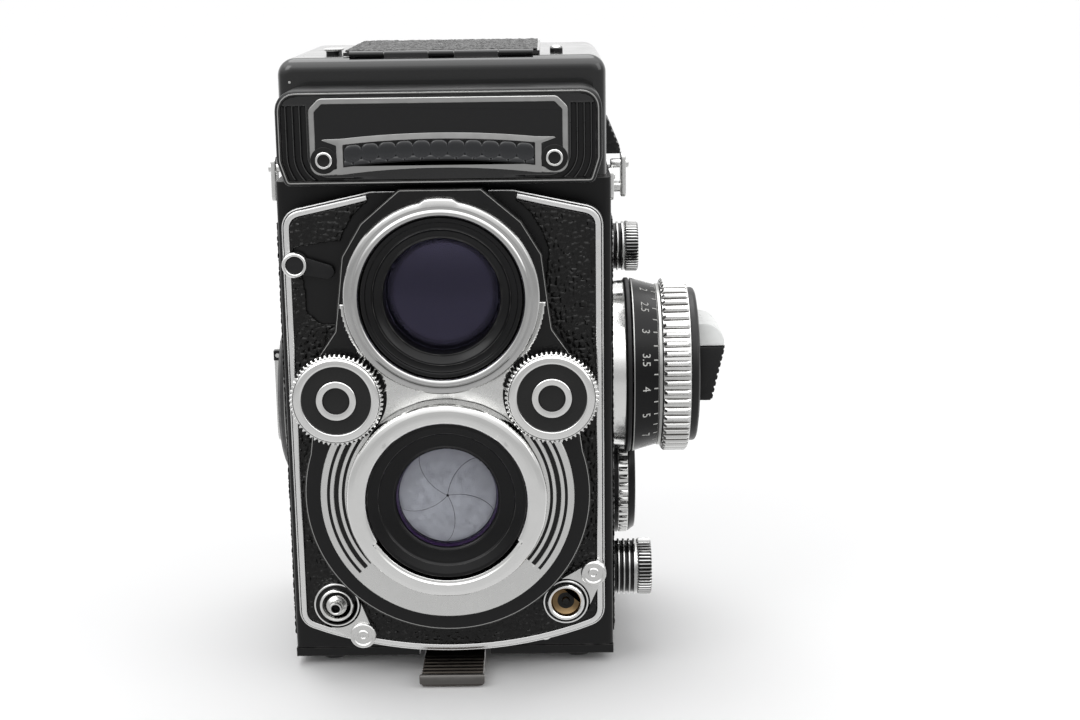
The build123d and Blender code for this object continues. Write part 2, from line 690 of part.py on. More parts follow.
def film_spool(at):
    """Spool with two flanges and a socket in each end."""
    spool = along_x(5.8, -SPOOL_HALF, SPOOL_HALF, at)
    for x0, x1 in ((-SPOOL_HALF, 1 - SPOOL_HALF), (SPOOL_HALF - 1, SPOOL_HALF)):
        spool += along_x(SPOOL_FLANGE, x0, x1, at)
    socket = SPOOL_PIN + 0.1
    spool -= along_x(socket, -SPOOL_HALF - 1, -SOCKET_END, at)
    return spool - along_x(socket, SOCKET_END, SPOOL_HALF + 1, at)


# ---------------------------------------------------------------- crank on the left side


def crank_hub():
    """Disc that winds the film, with a recess for the folded grip and two hinge ears."""
    y, z = CRANK_AT
    outline = [
        (-38.7, 0), (-38.7, CRANK_RADIUS), (-39.9, CRANK_RADIUS), (-42.2, CRANK_RADIUS - 4), (-42.2, 0),
    ]
    hub = turned_x(outline, CRANK_AT)
    hub -= along_x(3.8, -43, -39.4, (y, z - 8))
    for offset_y in (-5.7, 5.7):
        hub += span(-44.4, -42, y + offset_y - 1, y + offset_y + 1, z + 9.8, z + 12.2)
    hub -= along_y(0.6, y - 8, y + 8, (CRANK_HINGE_X, z + 11))
    hub += along_x(3.0, -38.8, -34.0, CRANK_AT)
    return hub + along_x(5.0, -36.4, -34.0, CRANK_AT)


def crank_arm():
    """Folding arm that lies across the disc, with its grip in the recess."""
    y, z = CRANK_AT
    arm = span(-44.6, -42.5, y - 4.4, y + 4.4, z - 8, z + 11)
    arm += along_x(4.4, -44.6, -42.5, (y, z - 8))
    arm += along_y(1.05, y - 4.6, y + 4.6, (CRANK_HINGE_X, z + 11))
    arm += along_y(0.55, y - 6.5, y + 6.5, (CRANK_HINGE_X, z + 11))
    return arm + along_x(3.2, -42.6, -39.7, (y, z - 8))


# ---------------------------------------------------------------- back


def back_cover():
    """L-shaped back and base, hinged above the rear edge."""
    cover = span(-BODY_HALF, BODY_HALF, 31.2, 33, 2.2, 117)
    cover += span(-BODY_HALF, BODY_HALF, BODY_FRONT, 33, 2.2, 4.3)
    bulge = span(-32, 32, 32, 37, 14, 82)
    bulge = fillet(bulge.faces().sort_by(Axis.Y)[-1].edges(), 2.0)
    cover += bulge - span(-30.5, 30.5, 31, 35.4, 15.5, 80.5)
    cover -= span(-30.5, 30.5, 31, 33.5, 15.5, 80.5)
    cover += along_x(1.4, -12, 12, BACK_HINGE)
    cover += span(-12, 12, 31.7, 33, 116.5, BACK_HINGE[1])
    cover -= along_x(BACK_PIN + RUNNING_GAP, -13, 13, BACK_HINGE)
    cover -= along_z(TRIPOD_BARREL, 0, 6, (0, 0))
    cover -= span(-8.6, 8.6, -34, LATCH_HINGE[0] + 1.4, 2, 5)
    return cover - along_x(0.55, -10, 10, LATCH_HINGE)


def back_covering():
    """Leatherette on the rear wall and on its bulge."""
    wall = span(-36.5, 36.5, 33, 33.4, 6, 114)
    wall -= span(-32.1, 32.1, 32, 34, 13.9, 82.1)
    return wall + span(-29.5, 29.5, 37, 37.4, 16.5, 79.5)


def pressure_plate():
    """Plate that holds the film flat, on two guide posts."""
    plate = span(-30, 30, 26, 27.2, 17, 76)
    for x in (-18, 18):
        plate += along_y(1.5, 27.2, 35.4, (x, TAKING_Z))
    return plate


def feet():
    pads = [along_z(3.0, 0, 2.2, (x, y)) for x in (-30, 30) for y in (-26, 26)]
    return group(pads)


def tripod_socket():
    """Threaded bush for a quarter-inch tripod screw."""
    socket = along_z(9.0, 0, 2.2, (0, 0)) + along_z(TRIPOD_BARREL, 0, 8, (0, 0))
    return socket - along_z(TRIPOD_BORE, -1, 6.5, (0, 0))


def back_latch():
    """Ribbed tongue that locks the back to the body."""
    latch = span(-7.7, 7.7, -47.5, LATCH_HINGE[0], 0.8, 2.8)
    latch += span(-8.2, 8.2, -48.3, -47.2, 0.3, 3.2)
    for rib in range(5):
        y = -45.6 + 2.2 * rib
        latch += span(-6.5, 6.5, y, y + 0.9, 2.8, 3.2)
    latch += along_x(1.05, -7.7, 7.7, LATCH_HINGE)
    return latch + along_x(0.5, -9.5, 9.5, LATCH_HINGE)


def hinge_pins():
    lid_pin = along_x(LID_PIN, -21, 21, LID_HINGE)
    back_pin = along_x(BACK_PIN, -20, 20, BACK_HINGE)
    return group([lid_pin, back_pin])


PIECES = {
    "body_shell": body_shell(),
    "side_coverings": side_coverings(),
    "light_chamber": light_chamber(),
    "reflex_mirror": reflex_mirror(),
    "strap_lugs": strap_lugs(),
    "hood_frame": hood_frame(),
    "hinge_pins": hinge_pins(),
    "hood_lid": hood_lid(),
    "lid_covering": lid_covering(),
    "magnifier": magnifier(),
    "hood_flap_left": hood_flap_left(),
    "hood_flap_right": hood_flap_right(),
    "hood_flap_rear": hood_flap_rear(),
    "hood_release_right": hood_release(),
    "hood_release_left": mirror(hood_release(), Plane.YZ),
    "focusing_screen": focusing_screen(),
    "nameplate_housing": nameplate_housing(),
    "nameplate": nameplate(),
    "nameplate_screws": nameplate_screws(),
    "meter_cell_window": meter_cell_window(),
    "selenium_cell": selenium_cell(),
    "front_plate": front_plate(),
    "front_covering": front_covering(),
    "front_trim": front_trim(),
    "focus_rods": focus_rods(),
    "lens_housing": lens_housing(),
    "shutter_bezel": shutter_bezel(),
    "viewing_bayonet": viewing_bayonet(),
    "taking_bayonet": taking_bayonet(),
    "viewing_barrel": viewing_barrel(),
    "viewing_glass": viewing_glass(),
    "taking_glass": taking_glass(),
    "shutter_housing": shutter_housing(),
    "shutter_blades": shutter_blades(),
    "aperture_wheel": control_wheel(-1),
    "shutter_speed_wheel": control_wheel(1),
    "release_collar": release_collar(),
    "release_button": release_button(),
    "release_lock_lever": lock_lever(RELEASE_AT, (-21.1, 11.2), 3.1),
    "flash_socket": flash_socket(),
    "flash_lock_lever": lock_lever(FLASH_AT, (33.55, 26.0), 3.0),
    "sync_lever": sync_lever(),
    "focus_base_ring": focus_base_ring(),
    "focus_scale_ring": focus_scale_ring(),
    "focus_knob_grip": focus_knob_grip(),
    "meter_case": meter_case(),
    "meter_window": meter_window(),
    "film_dial": film_dial(),
    "upper_spool_knob": spool_knob(TAKE_UP_AT, 6.4, 6.2, 43.4, 47.1),
    "lower_spool_knob": spool_knob(SUPPLY_AT, 6.9, 6.6, 44.8, 48.6),
    "take_up_spool": film_spool(TAKE_UP_AT),
    "supply_spool": film_spool(SUPPLY_AT),
    "crank_hub": crank_hub(),
    "crank_arm": crank_arm(),
    "back_cover": back_cover(),
    "back_covering": back_covering(),
    "pressure_plate": pressure_plate(),
    "feet": feet(),
    "tripod_socket": tripod_socket(),
    "back_latch": back_latch(),
}

for name, piece in PIECES.items():
    export_step(piece, f"parts/{name}.step")
print(len(PIECES), "pieces")
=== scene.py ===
"""The looks of a twin lens reflex camera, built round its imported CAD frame.

Lengths are in millimetres until a mesh is made; to_mesh turns them into metres.
The camera faces -Y, +Z is up, and the CAD frame's origin is the tripod socket's mouth.
A mesh is passed round as (points, faces, marks), and marks holds each face's material index.
"""

import math

import bmesh
import bpy
import numpy as np
from mathutils import Matrix, Vector


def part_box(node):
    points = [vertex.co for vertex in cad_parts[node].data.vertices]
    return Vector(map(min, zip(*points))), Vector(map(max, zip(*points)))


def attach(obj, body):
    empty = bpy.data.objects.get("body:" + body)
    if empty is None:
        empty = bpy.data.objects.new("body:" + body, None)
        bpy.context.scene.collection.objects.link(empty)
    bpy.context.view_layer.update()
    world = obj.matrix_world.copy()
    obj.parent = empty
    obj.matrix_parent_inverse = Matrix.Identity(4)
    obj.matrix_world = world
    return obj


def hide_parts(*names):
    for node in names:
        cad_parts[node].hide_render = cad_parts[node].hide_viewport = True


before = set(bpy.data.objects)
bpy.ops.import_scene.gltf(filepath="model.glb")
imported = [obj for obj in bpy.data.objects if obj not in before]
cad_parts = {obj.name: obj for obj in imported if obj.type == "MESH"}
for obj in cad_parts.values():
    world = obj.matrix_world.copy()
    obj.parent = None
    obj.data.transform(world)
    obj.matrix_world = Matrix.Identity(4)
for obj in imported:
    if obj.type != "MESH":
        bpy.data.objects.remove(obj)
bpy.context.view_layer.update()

MM = 0.001
TAU = math.tau
FRONT = "front_standard"


def limits(node):
    """A CAD node's lowest and highest corners in millimetres."""
    low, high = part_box(node)
    return np.array(low) / MM, np.array(high) / MM


def front_centre(node):
    """Middle (x, z) of a CAD node."""
    low, high = limits(node)
    return ((low + high) / 2)[[0, 2]]


def side_centre(node):
    """Middle (y, z) of a CAD node."""
    low, high = limits(node)
    return ((low + high) / 2)[[1, 2]]


def face_of(node):
    """Depth of a CAD node's front face."""
    return limits(node)[0][1]


# ---------------------------------------------------------------- places taken from the frame

VIEWING = front_centre("viewing_bayonet")
TAKING = front_centre("taking_bayonet")
SPEED_WHEEL = front_centre("shutter_speed_wheel")
RELEASE = front_centre("release_button")
FLASH = front_centre("flash_socket")
BAYONET_FACE = face_of("viewing_bayonet")
HOUSING_FACE = face_of("lens_housing")
BEZEL_FACE = face_of("shutter_bezel")
LEATHER_FACE = face_of("front_covering")
PLATE_FACE = limits("lens_housing")[1][1]
SHIELD_LOW, SHIELD_HIGH = limits("front_plate")
PLATE_HIGH = limits("nameplate")[1]
WINDOW_LOW, WINDOW_HIGH = limits("meter_cell_window")
FOCUS = side_centre("focus_base_ring")
DIAL = side_centre("film_dial")
UPPER_KNOB = side_centre("upper_spool_knob")
LOWER_KNOB = side_centre("lower_spool_knob")
CRANK = side_centre("crank_hub")

# ---------------------------------------------------------------- shared dimensions

WHEEL_CLEARANCE = 11.15
BRIDGE_FOOT = 26.9
HOUSING_RADIUS = 33
SHIELD_FOOT_RADIUS = 94.6
WINDOW_REACH = 21.4
PLATE_FOOT_REACH = 23.5
PLATE_CORNER = 4.4
COLLAR_START = 39.3
COLLAR_PITCH = 1.3

# ---------------------------------------------------------------- mesh tools


def to_mesh(name, mesh, materials, body, smooth=True, sheet=False):
    """A mesh object in metres that rides on a body; a sheet keeps its faces' sides."""
    points, faces, marks = mesh
    data = bpy.data.meshes.new(name)
    data.from_pydata([tuple(p) for p in np.asarray(points, float) * MM], [], faces)
    for material in materials:
        data.materials.append(material)
    data.polygons.foreach_set("material_index", marks)
    if not sheet:
        tidy = bmesh.new()
        tidy.from_mesh(data)
        bmesh.ops.recalc_face_normals(tidy, faces=tidy.faces)
        tidy.to_mesh(data)
        tidy.free()
    piece = bpy.data.objects.new(name, data)
    bpy.context.scene.collection.objects.link(piece)
    if smooth:
        data.polygons.foreach_set("use_smooth", [True] * len(data.polygons))
        data.set_sharp_from_angle(angle=math.radians(32))
    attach(piece, body)
    return piece


def add_to(mesh, name, materials, body, node, **options):
    """Make a piece that stands beside a CAD node, which stays shown; node is not used."""
    piece = to_mesh(name, mesh, materials, body, **options)
    return piece


def stand_in(mesh, name, materials, body, node, **options):
    """Make a piece that is shown instead of a CAD node."""
    piece = add_to(mesh, name, materials, body, node, **options)
    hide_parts(node)
    return piece


def thicken(piece, thickness, offset):
    """Give an open sheet a thickness: offset 0 to both of its sides, -1 to its back."""
    solid = piece.modifiers.new("thickness", "SOLIDIFY")
    solid.thickness = thickness * MM
    solid.offset = offset


def join_meshes(parts):
    """Several meshes as one."""
    points = []
    faces = []
    marks = []
    for part_points, part_faces, part_marks in parts:
        start = len(points)
        points.extend(map(tuple, part_points))
        faces.extend([tuple(i + start for i in face) for face in part_faces])
        marks.extend(part_marks)
    return np.array(points, float), faces, marks


def bridge(loops, caps=(True, True), mark=0):
    """Quads between successive closed loops of equal length, with optional end faces."""
    count = len(loops[0])
    points = np.concatenate([np.asarray(loop, float) for loop in loops])
    faces = []
    for row in range(len(loops) - 1):
        for column in range(count):
            following = (column + 1) % count
            a = row * count + column
            b = row * count + following
            faces.append((a, b, b + count, a + count))
    if caps[0]:
        faces.append(tuple(reversed(range(count))))
    if caps[1]:
        last = (len(loops) - 1) * count
        faces.append(tuple(range(last, last + count)))
    return points, faces, [mark] * len(faces)


def round_path(corners, radius, steps=5):
    """A closed path with arcs for corners; radius may be one number or one per corner."""
    corners = [np.asarray(c, float) for c in corners]
    count = len(corners)
    radii = [radius] * count if np.isscalar(radius) else list(radius)
    path = []
    for i, corner in enumerate(corners):
        before = corners[i - 1] - corner
        after = corners[(i + 1) % count] - corner
        size_before, size_after = np.linalg.norm(before), np.linalg.norm(after)
        before, after = before / size_before, after / size_after
        half = math.acos(np.clip(np.dot(before, after), -1, 1)) / 2
        if radii[i] <= 0 or half > math.radians(88):
            path.append(corner)
            continue
        back = min(radii[i] / math.tan(half), 0.48 * size_before, 0.48 * size_after)
        reach = back * math.tan(half)
        bisector = (before + after) / np.linalg.norm(before + after)
        centre = corner + bisector * math.hypot(back, reach)
        start = corner + before * back - centre
        end = corner + after * back - centre
        sweep = math.pi - 2 * half
        for step in range(steps + 1):
            t = step / steps
            mixed = start * math.sin((1 - t) * sweep) + end * math.sin(t * sweep)
            path.append(centre + mixed / math.sin(sweep))
    return np.array(path)


def resample(path, spacing, closed=True):
    """Points at an even spacing along a path."""
    path = np.asarray(path, float)
    if closed:
        path = np.vstack([path, path[:1]])
    lengths = np.concatenate([[0], np.cumsum(np.linalg.norm(np.diff(path, axis=0), axis=1))])
    count = max(3, int(round(lengths[-1] / spacing)))
    at = np.linspace(0, lengths[-1], count + 1)
    if closed:
        at = at[:-1]
    return np.stack([np.interp(at, lengths, path[:, k]) for k in range(2)], axis=1)


def normals_2d(path, closed=True):
    """Unit normals on the left of a 2-D path."""
    if closed:
        tangent = np.roll(path, -1, axis=0) - np.roll(path, 1, axis=0)
    else:
        tangent = np.gradient(path, axis=0)
    tangent /= np.maximum(np.linalg.norm(tangent, axis=1, keepdims=True), 1e-9)
    return np.stack([-tangent[:, 1], tangent[:, 0]], axis=1)


def inset(path, distance):
    """A closed, counter-clockwise path moved inwards."""
    return path + normals_2d(path) * distance


def facing(path, y):
    """A 2-D (x, z) path as 3-D points at one depth."""
    path = np.asarray(path, float)
    return np.stack([path[:, 0], np.full(len(path), float(y)), path[:, 1]], axis=1)


def around(axis, at, across, up, along):
    """Points round an axis; at is (x, z) for an axis along Y and (y, z) for one along X."""
    if axis == "y":
        return np.stack([at[0] + across, along, at[1] + up], axis=1)
    return np.stack([along, at[0] + across, at[1] + up], axis=1)


def slab(path, front, back, edge=0.3, spacing=0.8):
    """A plate with rounded front edges, from a counter-clockwise (x, z) outline."""
    path = resample(path, spacing)
    loops = []
    for step in range(4):
        angle = math.pi / 2 * step / 3
        pull = edge * (1 - math.sin(angle))
        loops.append(facing(inset(path, pull), front + edge * (1 - math.cos(angle))))
    loops.append(facing(path, back))
    return bridge(loops)


def turned(profile, at, axis="y", segments=128, edge=0.12, marks=None, wobble=None):
    """Turn a (radius, depth) profile about an axis, with every corner slightly rounded.

    marks gives a material index to each stretch of the profile, and wobble(radius, depth, angle)
    may move a point outwards and along the axis.
    """
    rounded = []
    owner = []
    profile = [np.asarray(p, float) for p in profile]
    marks = marks or [0] * (len(profile) - 1)
    for i, corner in enumerate(profile):
        if i in (0, len(profile) - 1) or edge <= 0:
            rounded.append(corner)
            owner.append(min(i, len(marks) - 1))
            continue
        before, after = profile[i - 1] - corner, profile[i + 1] - corner
        reach = min(edge, 0.4 * np.linalg.norm(before), 0.4 * np.linalg.norm(after))
        start = corner + before / np.linalg.norm(before) * reach
        end = corner + after / np.linalg.norm(after) * reach
        rounded += [start, (start + end + 2 * corner) / 4, end]
        owner += [i - 1, i, i]
    angles = np.linspace(0, TAU, segments, endpoint=False)
    loops = []
    for radius, depth in rounded:
        ring_radius = np.full(segments, radius)
        ring_depth = np.full(segments, depth)
        if wobble is not None:
            out, along = wobble(radius, depth, angles)
            ring_radius = ring_radius + out
            ring_depth = ring_depth + along
        across, up = ring_radius * np.cos(angles), ring_radius * np.sin(angles)
        loops.append(around(axis, at, across, up, ring_depth))
    points, faces, _ = bridge(loops, caps=(False, False))
    face_marks = []
    for row in range(len(loops) - 1):
        face_marks += [marks[min(owner[row], len(marks) - 1)]] * segments
    return points, faces, face_marks


def swept(path, section, closed=False, y=0.0, tip=0.0):
    """Sweep a (sideways, forwards) section along an (x, z) path.

    Forwards is -Y, and tip is the length over which open ends are rounded.
    """
    path = np.asarray(path, float)
    sideways = normals_2d(path, closed)
    girth = np.ones(len(path))
    if tip > 0:
        walked = np.concatenate([[0], np.cumsum(np.linalg.norm(np.diff(path, axis=0), axis=1))])
        from_end = np.minimum(walked, walked[-1] - walked)
        girth = np.sqrt(np.clip(1 - (1 - np.clip(from_end / tip, 0, 1)) ** 2, 0.01, 1))
    loops = []
    for offset_side, offset_front in section:
        moved = path + sideways * offset_side * girth[:, None]
        loop = facing(moved, y)
        loop[:, 1] -= offset_front * girth
        loops.append(loop)
    loops = np.array(loops).transpose(1, 0, 2)
    if closed:
        loops = np.concatenate([loops, loops[:1]])
    return bridge(list(loops), caps=(not closed, not closed))


def half_round(width, height, steps=4):
    """A D-shaped section, flat at the back."""
    section = []
    for step in range(steps + 1):
        angle = math.pi * step / steps
        bulge = max(math.sin(angle), 0.0) ** 0.6
        section.append((width / 2 * math.cos(angle), height * bulge))
    return section


def rounded_bar(width, height, edge=0.2):
    """A flat-topped section with rounded shoulders."""
    half = width / 2
    shoulder = [
        (half, 0),
        (half, height - edge),
        (half - 0.3 * edge, height - 0.3 * edge),
        (half - edge, height),
    ]
    return shoulder + [(-a, b) for a, b in reversed(shoulder)]


def ribs_along(start, end, count, depth):
    """Ribs on the way from start to end, standing out to the right of it."""
    start, end = np.array(start, float), np.array(end, float)
    step = (end - start) / count
    out = np.array([step[1], -step[0]]) / np.hypot(*step) * depth
    path = []
    for index in range(count):
        foot = start + index * step
        path += [foot, foot + 0.15 * step + out, foot + 0.6 * step + out, foot + 0.75 * step]
    return path


def straight_bar(section, low, high, bevel, axis="y", side=1):
    """A section carried from low to high along X or Y, with bevelled ends; side -1 mirrors it in X."""
    section = np.array(section, float)
    centre = (section.min(axis=0) + section.max(axis=0)) / 2
    half = (section.max(axis=0) - section.min(axis=0)) / 2
    stations = (
        (low, bevel),
        (low + 0.3 * bevel, 0.3 * bevel),
        (low + bevel, 0.0),
        (high - bevel, 0.0),
        (high - 0.3 * bevel, 0.3 * bevel),
        (high, bevel),
    )
    loops = []
    for place, pull in stations:
        across, up = (centre + (section - centre) * (1 - pull / half)).T
        along = np.full(len(up), place)
        loops.append(np.stack([side * across, along, up] if axis == "y" else [along, across, up], axis=-1))
    return bridge(loops)


def open_sheet(grid_points, kept):
    """An open sheet from a grid of points, keeping the quads whose four corners are kept."""
    quads = kept[:-1, :-1] & kept[1:, :-1] & kept[1:, 1:] & kept[:-1, 1:]
    index = np.arange(kept.size).reshape(kept.shape)
    corners = np.stack([index[:-1, :-1], index[1:, :-1], index[1:, 1:], index[:-1, 1:]], axis=-1)[quads]
    used, corners = np.unique(corners, return_inverse=True)
    faces = corners.reshape(-1, 4).tolist()
    return grid_points.reshape(-1, 3)[used], faces, [0] * len(faces)


# ---------------------------------------------------------------- materials


MIX_FACTOR, MIX_DARK, MIX_LIGHT, MIX_COLOR = 0, 6, 7, 2


class Finish:
    """One node material, put together step by step from procedural patterns."""

    def __init__(self, name, color, roughness=0.4, metallic=0.0, coat=0.0):
        self.material = bpy.data.materials.new(name)
        self.material.use_nodes = True
        self.nodes = self.material.node_tree.nodes
        self.links = self.material.node_tree.links
        self.shader = self.nodes["Principled BSDF"]
        self.shader.inputs["Base Color"].default_value = (*color, 1)
        self.shader.inputs["Roughness"].default_value = roughness
        self.shader.inputs["Metallic"].default_value = metallic
        self.shader.inputs["Coat Weight"].default_value = coat
        self.place = self.nodes.new("ShaderNodeTexCoord").outputs["Object"]

    def noise(self, size_mm, detail=3.0):
        """Soft noise whose blotches are about size_mm across."""
        node = self.nodes.new("ShaderNodeTexNoise")
        node.inputs["Scale"].default_value = 1 / (size_mm * MM)
        node.inputs["Detail"].default_value = detail
        self.links.new(self.place, node.inputs["Vector"])
        return node.outputs["Fac"]

    def ramp(self, source, low, high, start, end):
        """A source value between low and high becomes start to end."""
        node = self.nodes.new("ShaderNodeMapRange")
        for key, value in (("From Min", low), ("From Max", high), ("To Min", start), ("To Max", end)):
            node.inputs[key].default_value = value
        self.links.new(source, node.inputs["Value"])
        return node.outputs["Result"]

    def color(self, source, dark, light):
        """The base colour runs from dark to light as a source value rises."""
        node = self.nodes.new("ShaderNodeMix")
        node.data_type = "RGBA"
        node.inputs[MIX_DARK].default_value = (*dark, 1)
        node.inputs[MIX_LIGHT].default_value = (*light, 1)
        self.links.new(source, node.inputs[MIX_FACTOR])
        self.links.new(node.outputs[MIX_COLOR], self.shader.inputs["Base Color"])
        return node

    def roughness(self, source, low, high):
        """The roughness runs from low to high over the middle of a noise's range."""
        self.links.new(self.ramp(source, 0.3, 0.7, low, high), self.shader.inputs["Roughness"])

    def specular(self, level):
        """How strongly the bare surface reflects."""
        self.shader.inputs["Specular IOR Level"].default_value = level

    def bump(self, source, depth_mm, strength=1.0):
        """Fine relief from a source value."""
        node = self.nodes.new("ShaderNodeBump")
        node.inputs["Distance"].default_value = depth_mm * MM
        node.inputs["Strength"].default_value = strength
        self.links.new(source, node.inputs["Height"])
        self.links.new(node.outputs["Normal"], self.shader.inputs["Normal"])

    def worn_edges(self, radius_mm, bare, low=0.04, high=0.25):
        """Paint rubbed thin along the edges: the bevelled normal differs most there."""
        bevel = self.nodes.new("ShaderNodeBevel")
        bevel.samples = 6
        bevel.inputs["Radius"].default_value = radius_mm * MM
        geometry = self.nodes.new("ShaderNodeNewGeometry")
        dot = self.nodes.new("ShaderNodeVectorMath")
        dot.operation = "DOT_PRODUCT"
        self.links.new(bevel.outputs["Normal"], dot.inputs[0])
        self.links.new(geometry.outputs["Normal"], dot.inputs[1])
        patches = self.ramp(self.noise(2.5, 5), 0.35, 0.75, 0.0, 1.0)
        edge = self.ramp(dot.outputs["Value"], 1 - low, 1 - high, 0.0, 1.0)
        product = self.nodes.new("ShaderNodeMath")
        product.operation = "MULTIPLY"
        product.use_clamp = True
        self.links.new(patches, product.inputs[0])
        self.links.new(edge, product.inputs[1])
        painted = self.shader.inputs["Base Color"].links[0].from_socket
        mix = self.color(product.outputs["Value"], bare, bare)
        self.links.new(painted, mix.inputs[MIX_DARK])


def black_enamel(name, roughness=(0.28, 0.42), wear=True, level=0.3, coat=0.0):
    """Black paint, slightly mottled, and rubbed thin along its edges where wear is on."""
    finish = Finish(name, (0.006, 0.006, 0.006), 0.35, coat=coat)
    finish.color(finish.noise(18, 4), (0.0045, 0.0045, 0.0048), (0.0075, 0.0075, 0.0080))
    finish.roughness(finish.noise(6, 5), *roughness)
    finish.specular(level)
    finish.bump(finish.noise(0.35, 3), 0.006, 0.4)
    if wear:
        finish.worn_edges(0.35, (0.16, 0.155, 0.15))
    return finish.material


def leatherette(name):
    """Glossy black leather cloth; its pebbles are real relief, so this adds only fine grain."""
    finish = Finish(name, (0.006, 0.006, 0.006), 0.5)
    finish.color(finish.noise(9, 4), (0.0035, 0.0034, 0.0034), (0.0065, 0.0062, 0.0060))
    finish.roughness(finish.noise(1.2, 4), 0.16, 0.32)
    finish.specular(0.31)
    finish.bump(finish.noise(0.25, 4), 0.05, 0.6)
    return finish.material


def satin_chrome(name, tint=(0.80, 0.80, 0.79), roughness=(0.2, 0.36)):
    """Bare metal of any tint and polish."""
    finish = Finish(name, tint, 0.28, 1.0)
    lighter = tuple(min(1.0, c * 1.1) for c in tint)
    finish.color(finish.noise(5, 4), tint, lighter)
    finish.roughness(finish.noise(1.5, 5), *roughness)
    finish.bump(finish.noise(0.12, 2), 0.004, 0.6)
    return finish.material


def black_anodised(name, roughness=(0.35, 0.5)):
    """Blackened metal with a soft sheen."""
    finish = Finish(name, (0.006, 0.006, 0.007), 0.42, 0.0)
    finish.color(finish.noise(4, 4), (0.005, 0.005, 0.0055), (0.009, 0.009, 0.010))
    finish.specular(0.35)
    finish.roughness(finish.noise(1.0, 4), *roughness)
    finish.bump(finish.noise(0.15, 2), 0.006, 0.5)
    return finish.material


def coated_glass(name, tint, roughness=0.02, level=0.7, coat=1.0, sheen=(0.72, 0.66, 1.0)):
    """Lens glass as an opaque face: its base colour is a painted reflection of the coating, violet and blue,
    darker towards the middle and painted lighter towards grazing angles.
    """
    finish = Finish(name, tint, roughness, 0.0, coat)
    # Painted sheen: the base colour is lightened towards grazing angles.
    painted_sheen_weight = finish.nodes.new("ShaderNodeLayerWeight")
    painted_sheen_weight.inputs["Blend"].default_value = 0.35
    finish.color(painted_sheen_weight.outputs["Facing"], tint, tuple(min(1, 3 * c) for c in tint))
    finish.shader.inputs["Coat Tint"].default_value = (*sheen, 1)
    finish.shader.inputs["Coat Roughness"].default_value = 0.01
    finish.specular(level)
    return finish.material


def clear_glass(name, tint=(0.92, 0.95, 0.95)):
    """Glass that is seen through."""
    finish = Finish(name, tint, 0.03)
    finish.shader.inputs["Transmission Weight"].default_value = 1.0
    finish.roughness(finish.noise(3, 3), 0.0, 0.05)
    return finish.material


def plastic(name, color, roughness=(0.4, 0.55)):
    """Moulded plastic."""
    finish = Finish(name, color, 0.45)
    lighter = tuple(min(1, 1.25 * c + 0.002) for c in color)
    finish.color(finish.noise(8, 3), color, lighter)
    finish.roughness(finish.noise(2, 4), *roughness)
    finish.specular(0.35)
    finish.bump(finish.noise(0.3, 3), 0.01, 0.5)
    return finish.material


def paint_fill(name, color, roughness=0.5):
    """Thin paint in an engraving or on a mark."""
    finish = Finish(name, color, roughness)
    finish.color(finish.noise(0.8, 4), tuple(0.8 * c for c in color), color)
    finish.specular(0.3)
    finish.bump(finish.noise(0.2, 2), 0.01, 0.4)
    return finish.material


ENAMEL = black_enamel("black_enamel")
GLOSS_ENAMEL = black_enamel("gloss_black_enamel", (0.16, 0.26), level=0.22)
HOOD_ENAMEL = black_enamel("polished_black_enamel", (0.10, 0.17), level=0.55, coat=0.4)
MATT_BLACK = black_enamel("matt_black", (0.7, 0.85), wear=False)
LEATHER = leatherette("pebbled_leatherette")
CHROME = satin_chrome("satin_chrome")
BRIGHT_CHROME = satin_chrome("bright_chrome", (0.90, 0.90, 0.89), (0.08, 0.18))
GREY_CHROME = satin_chrome("worn_grey_chrome", (0.55, 0.55, 0.545), (0.12, 0.26))
STEEL_AND_LIP_SHADE = satin_chrome("plain_steel", (0.42, 0.42, 0.41), (0.28, 0.45))
DARK_STEEL_AND_GROOVE_SHADE = satin_chrome("dark_steel", (0.13, 0.125, 0.12), (0.3, 0.48))
BRASS = satin_chrome("aged_brass", (0.20, 0.135, 0.07), (0.25, 0.45))
TRIM_CHROME = satin_chrome("trim_chrome", (0.96, 0.96, 0.95), (0.22, 0.34))
LATCH_BROWN = satin_chrome("latch_dark_brown", (0.055, 0.048, 0.042), (0.35, 0.5))
ANODISED = black_anodised("black_anodised")
BLACK_PAINT_AND_SEAM_SHADE = paint_fill("black_groove_paint", (0.006, 0.006, 0.006), 0.55)
SILVER_LINE = satin_chrome("silver_line", (0.5, 0.5, 0.49), (0.25, 0.35))
WHITE_PAINT = paint_fill("white_figure_paint", (0.62, 0.62, 0.60))
VIEWING_COAT = coated_glass("viewing_lens_coating", (0.003, 0.0028, 0.0065), level=0.2, coat=0.15)
VIOLET_WALL = coated_glass("violet_lens_wall", (0.022, 0.009, 0.036), 0.18, level=0.5, coat=0.3)
CLEAR = clear_glass("clear_glass")
CELL_GLASS = coated_glass(
    "cell_window_glass", (0.014, 0.015, 0.017), 0.10, level=0.42, coat=0.35, sheen=(1, 1, 1)
)
WHEEL_INSET = paint_fill("wheel_inset_black", (0.012, 0.012, 0.012), 0.6)
LEAF = satin_chrome("shutter_leaf_grey", (0.60, 0.61, 0.62), (0.42, 0.55))
BLACK_PLASTIC = plastic("black_plastic", (0.007, 0.007, 0.0075), (0.3, 0.45))
WHITE_PLASTIC = plastic("milky_plastic", (0.72, 0.73, 0.72), (0.25, 0.4))
SILVERED = satin_chrome("silvered_mirror", (0.9, 0.9, 0.9), (0.01, 0.03))
PLATE_GREY = satin_chrome("nameplate_border", (0.42, 0.42, 0.415), (0.32, 0.45))
RIDGE_GREY = satin_chrome("worn_ridge", (0.10, 0.10, 0.10), (0.25, 0.4))
PLATE_BLACK = paint_fill("nameplate_field", (0.009, 0.009, 0.0095), 0.45)


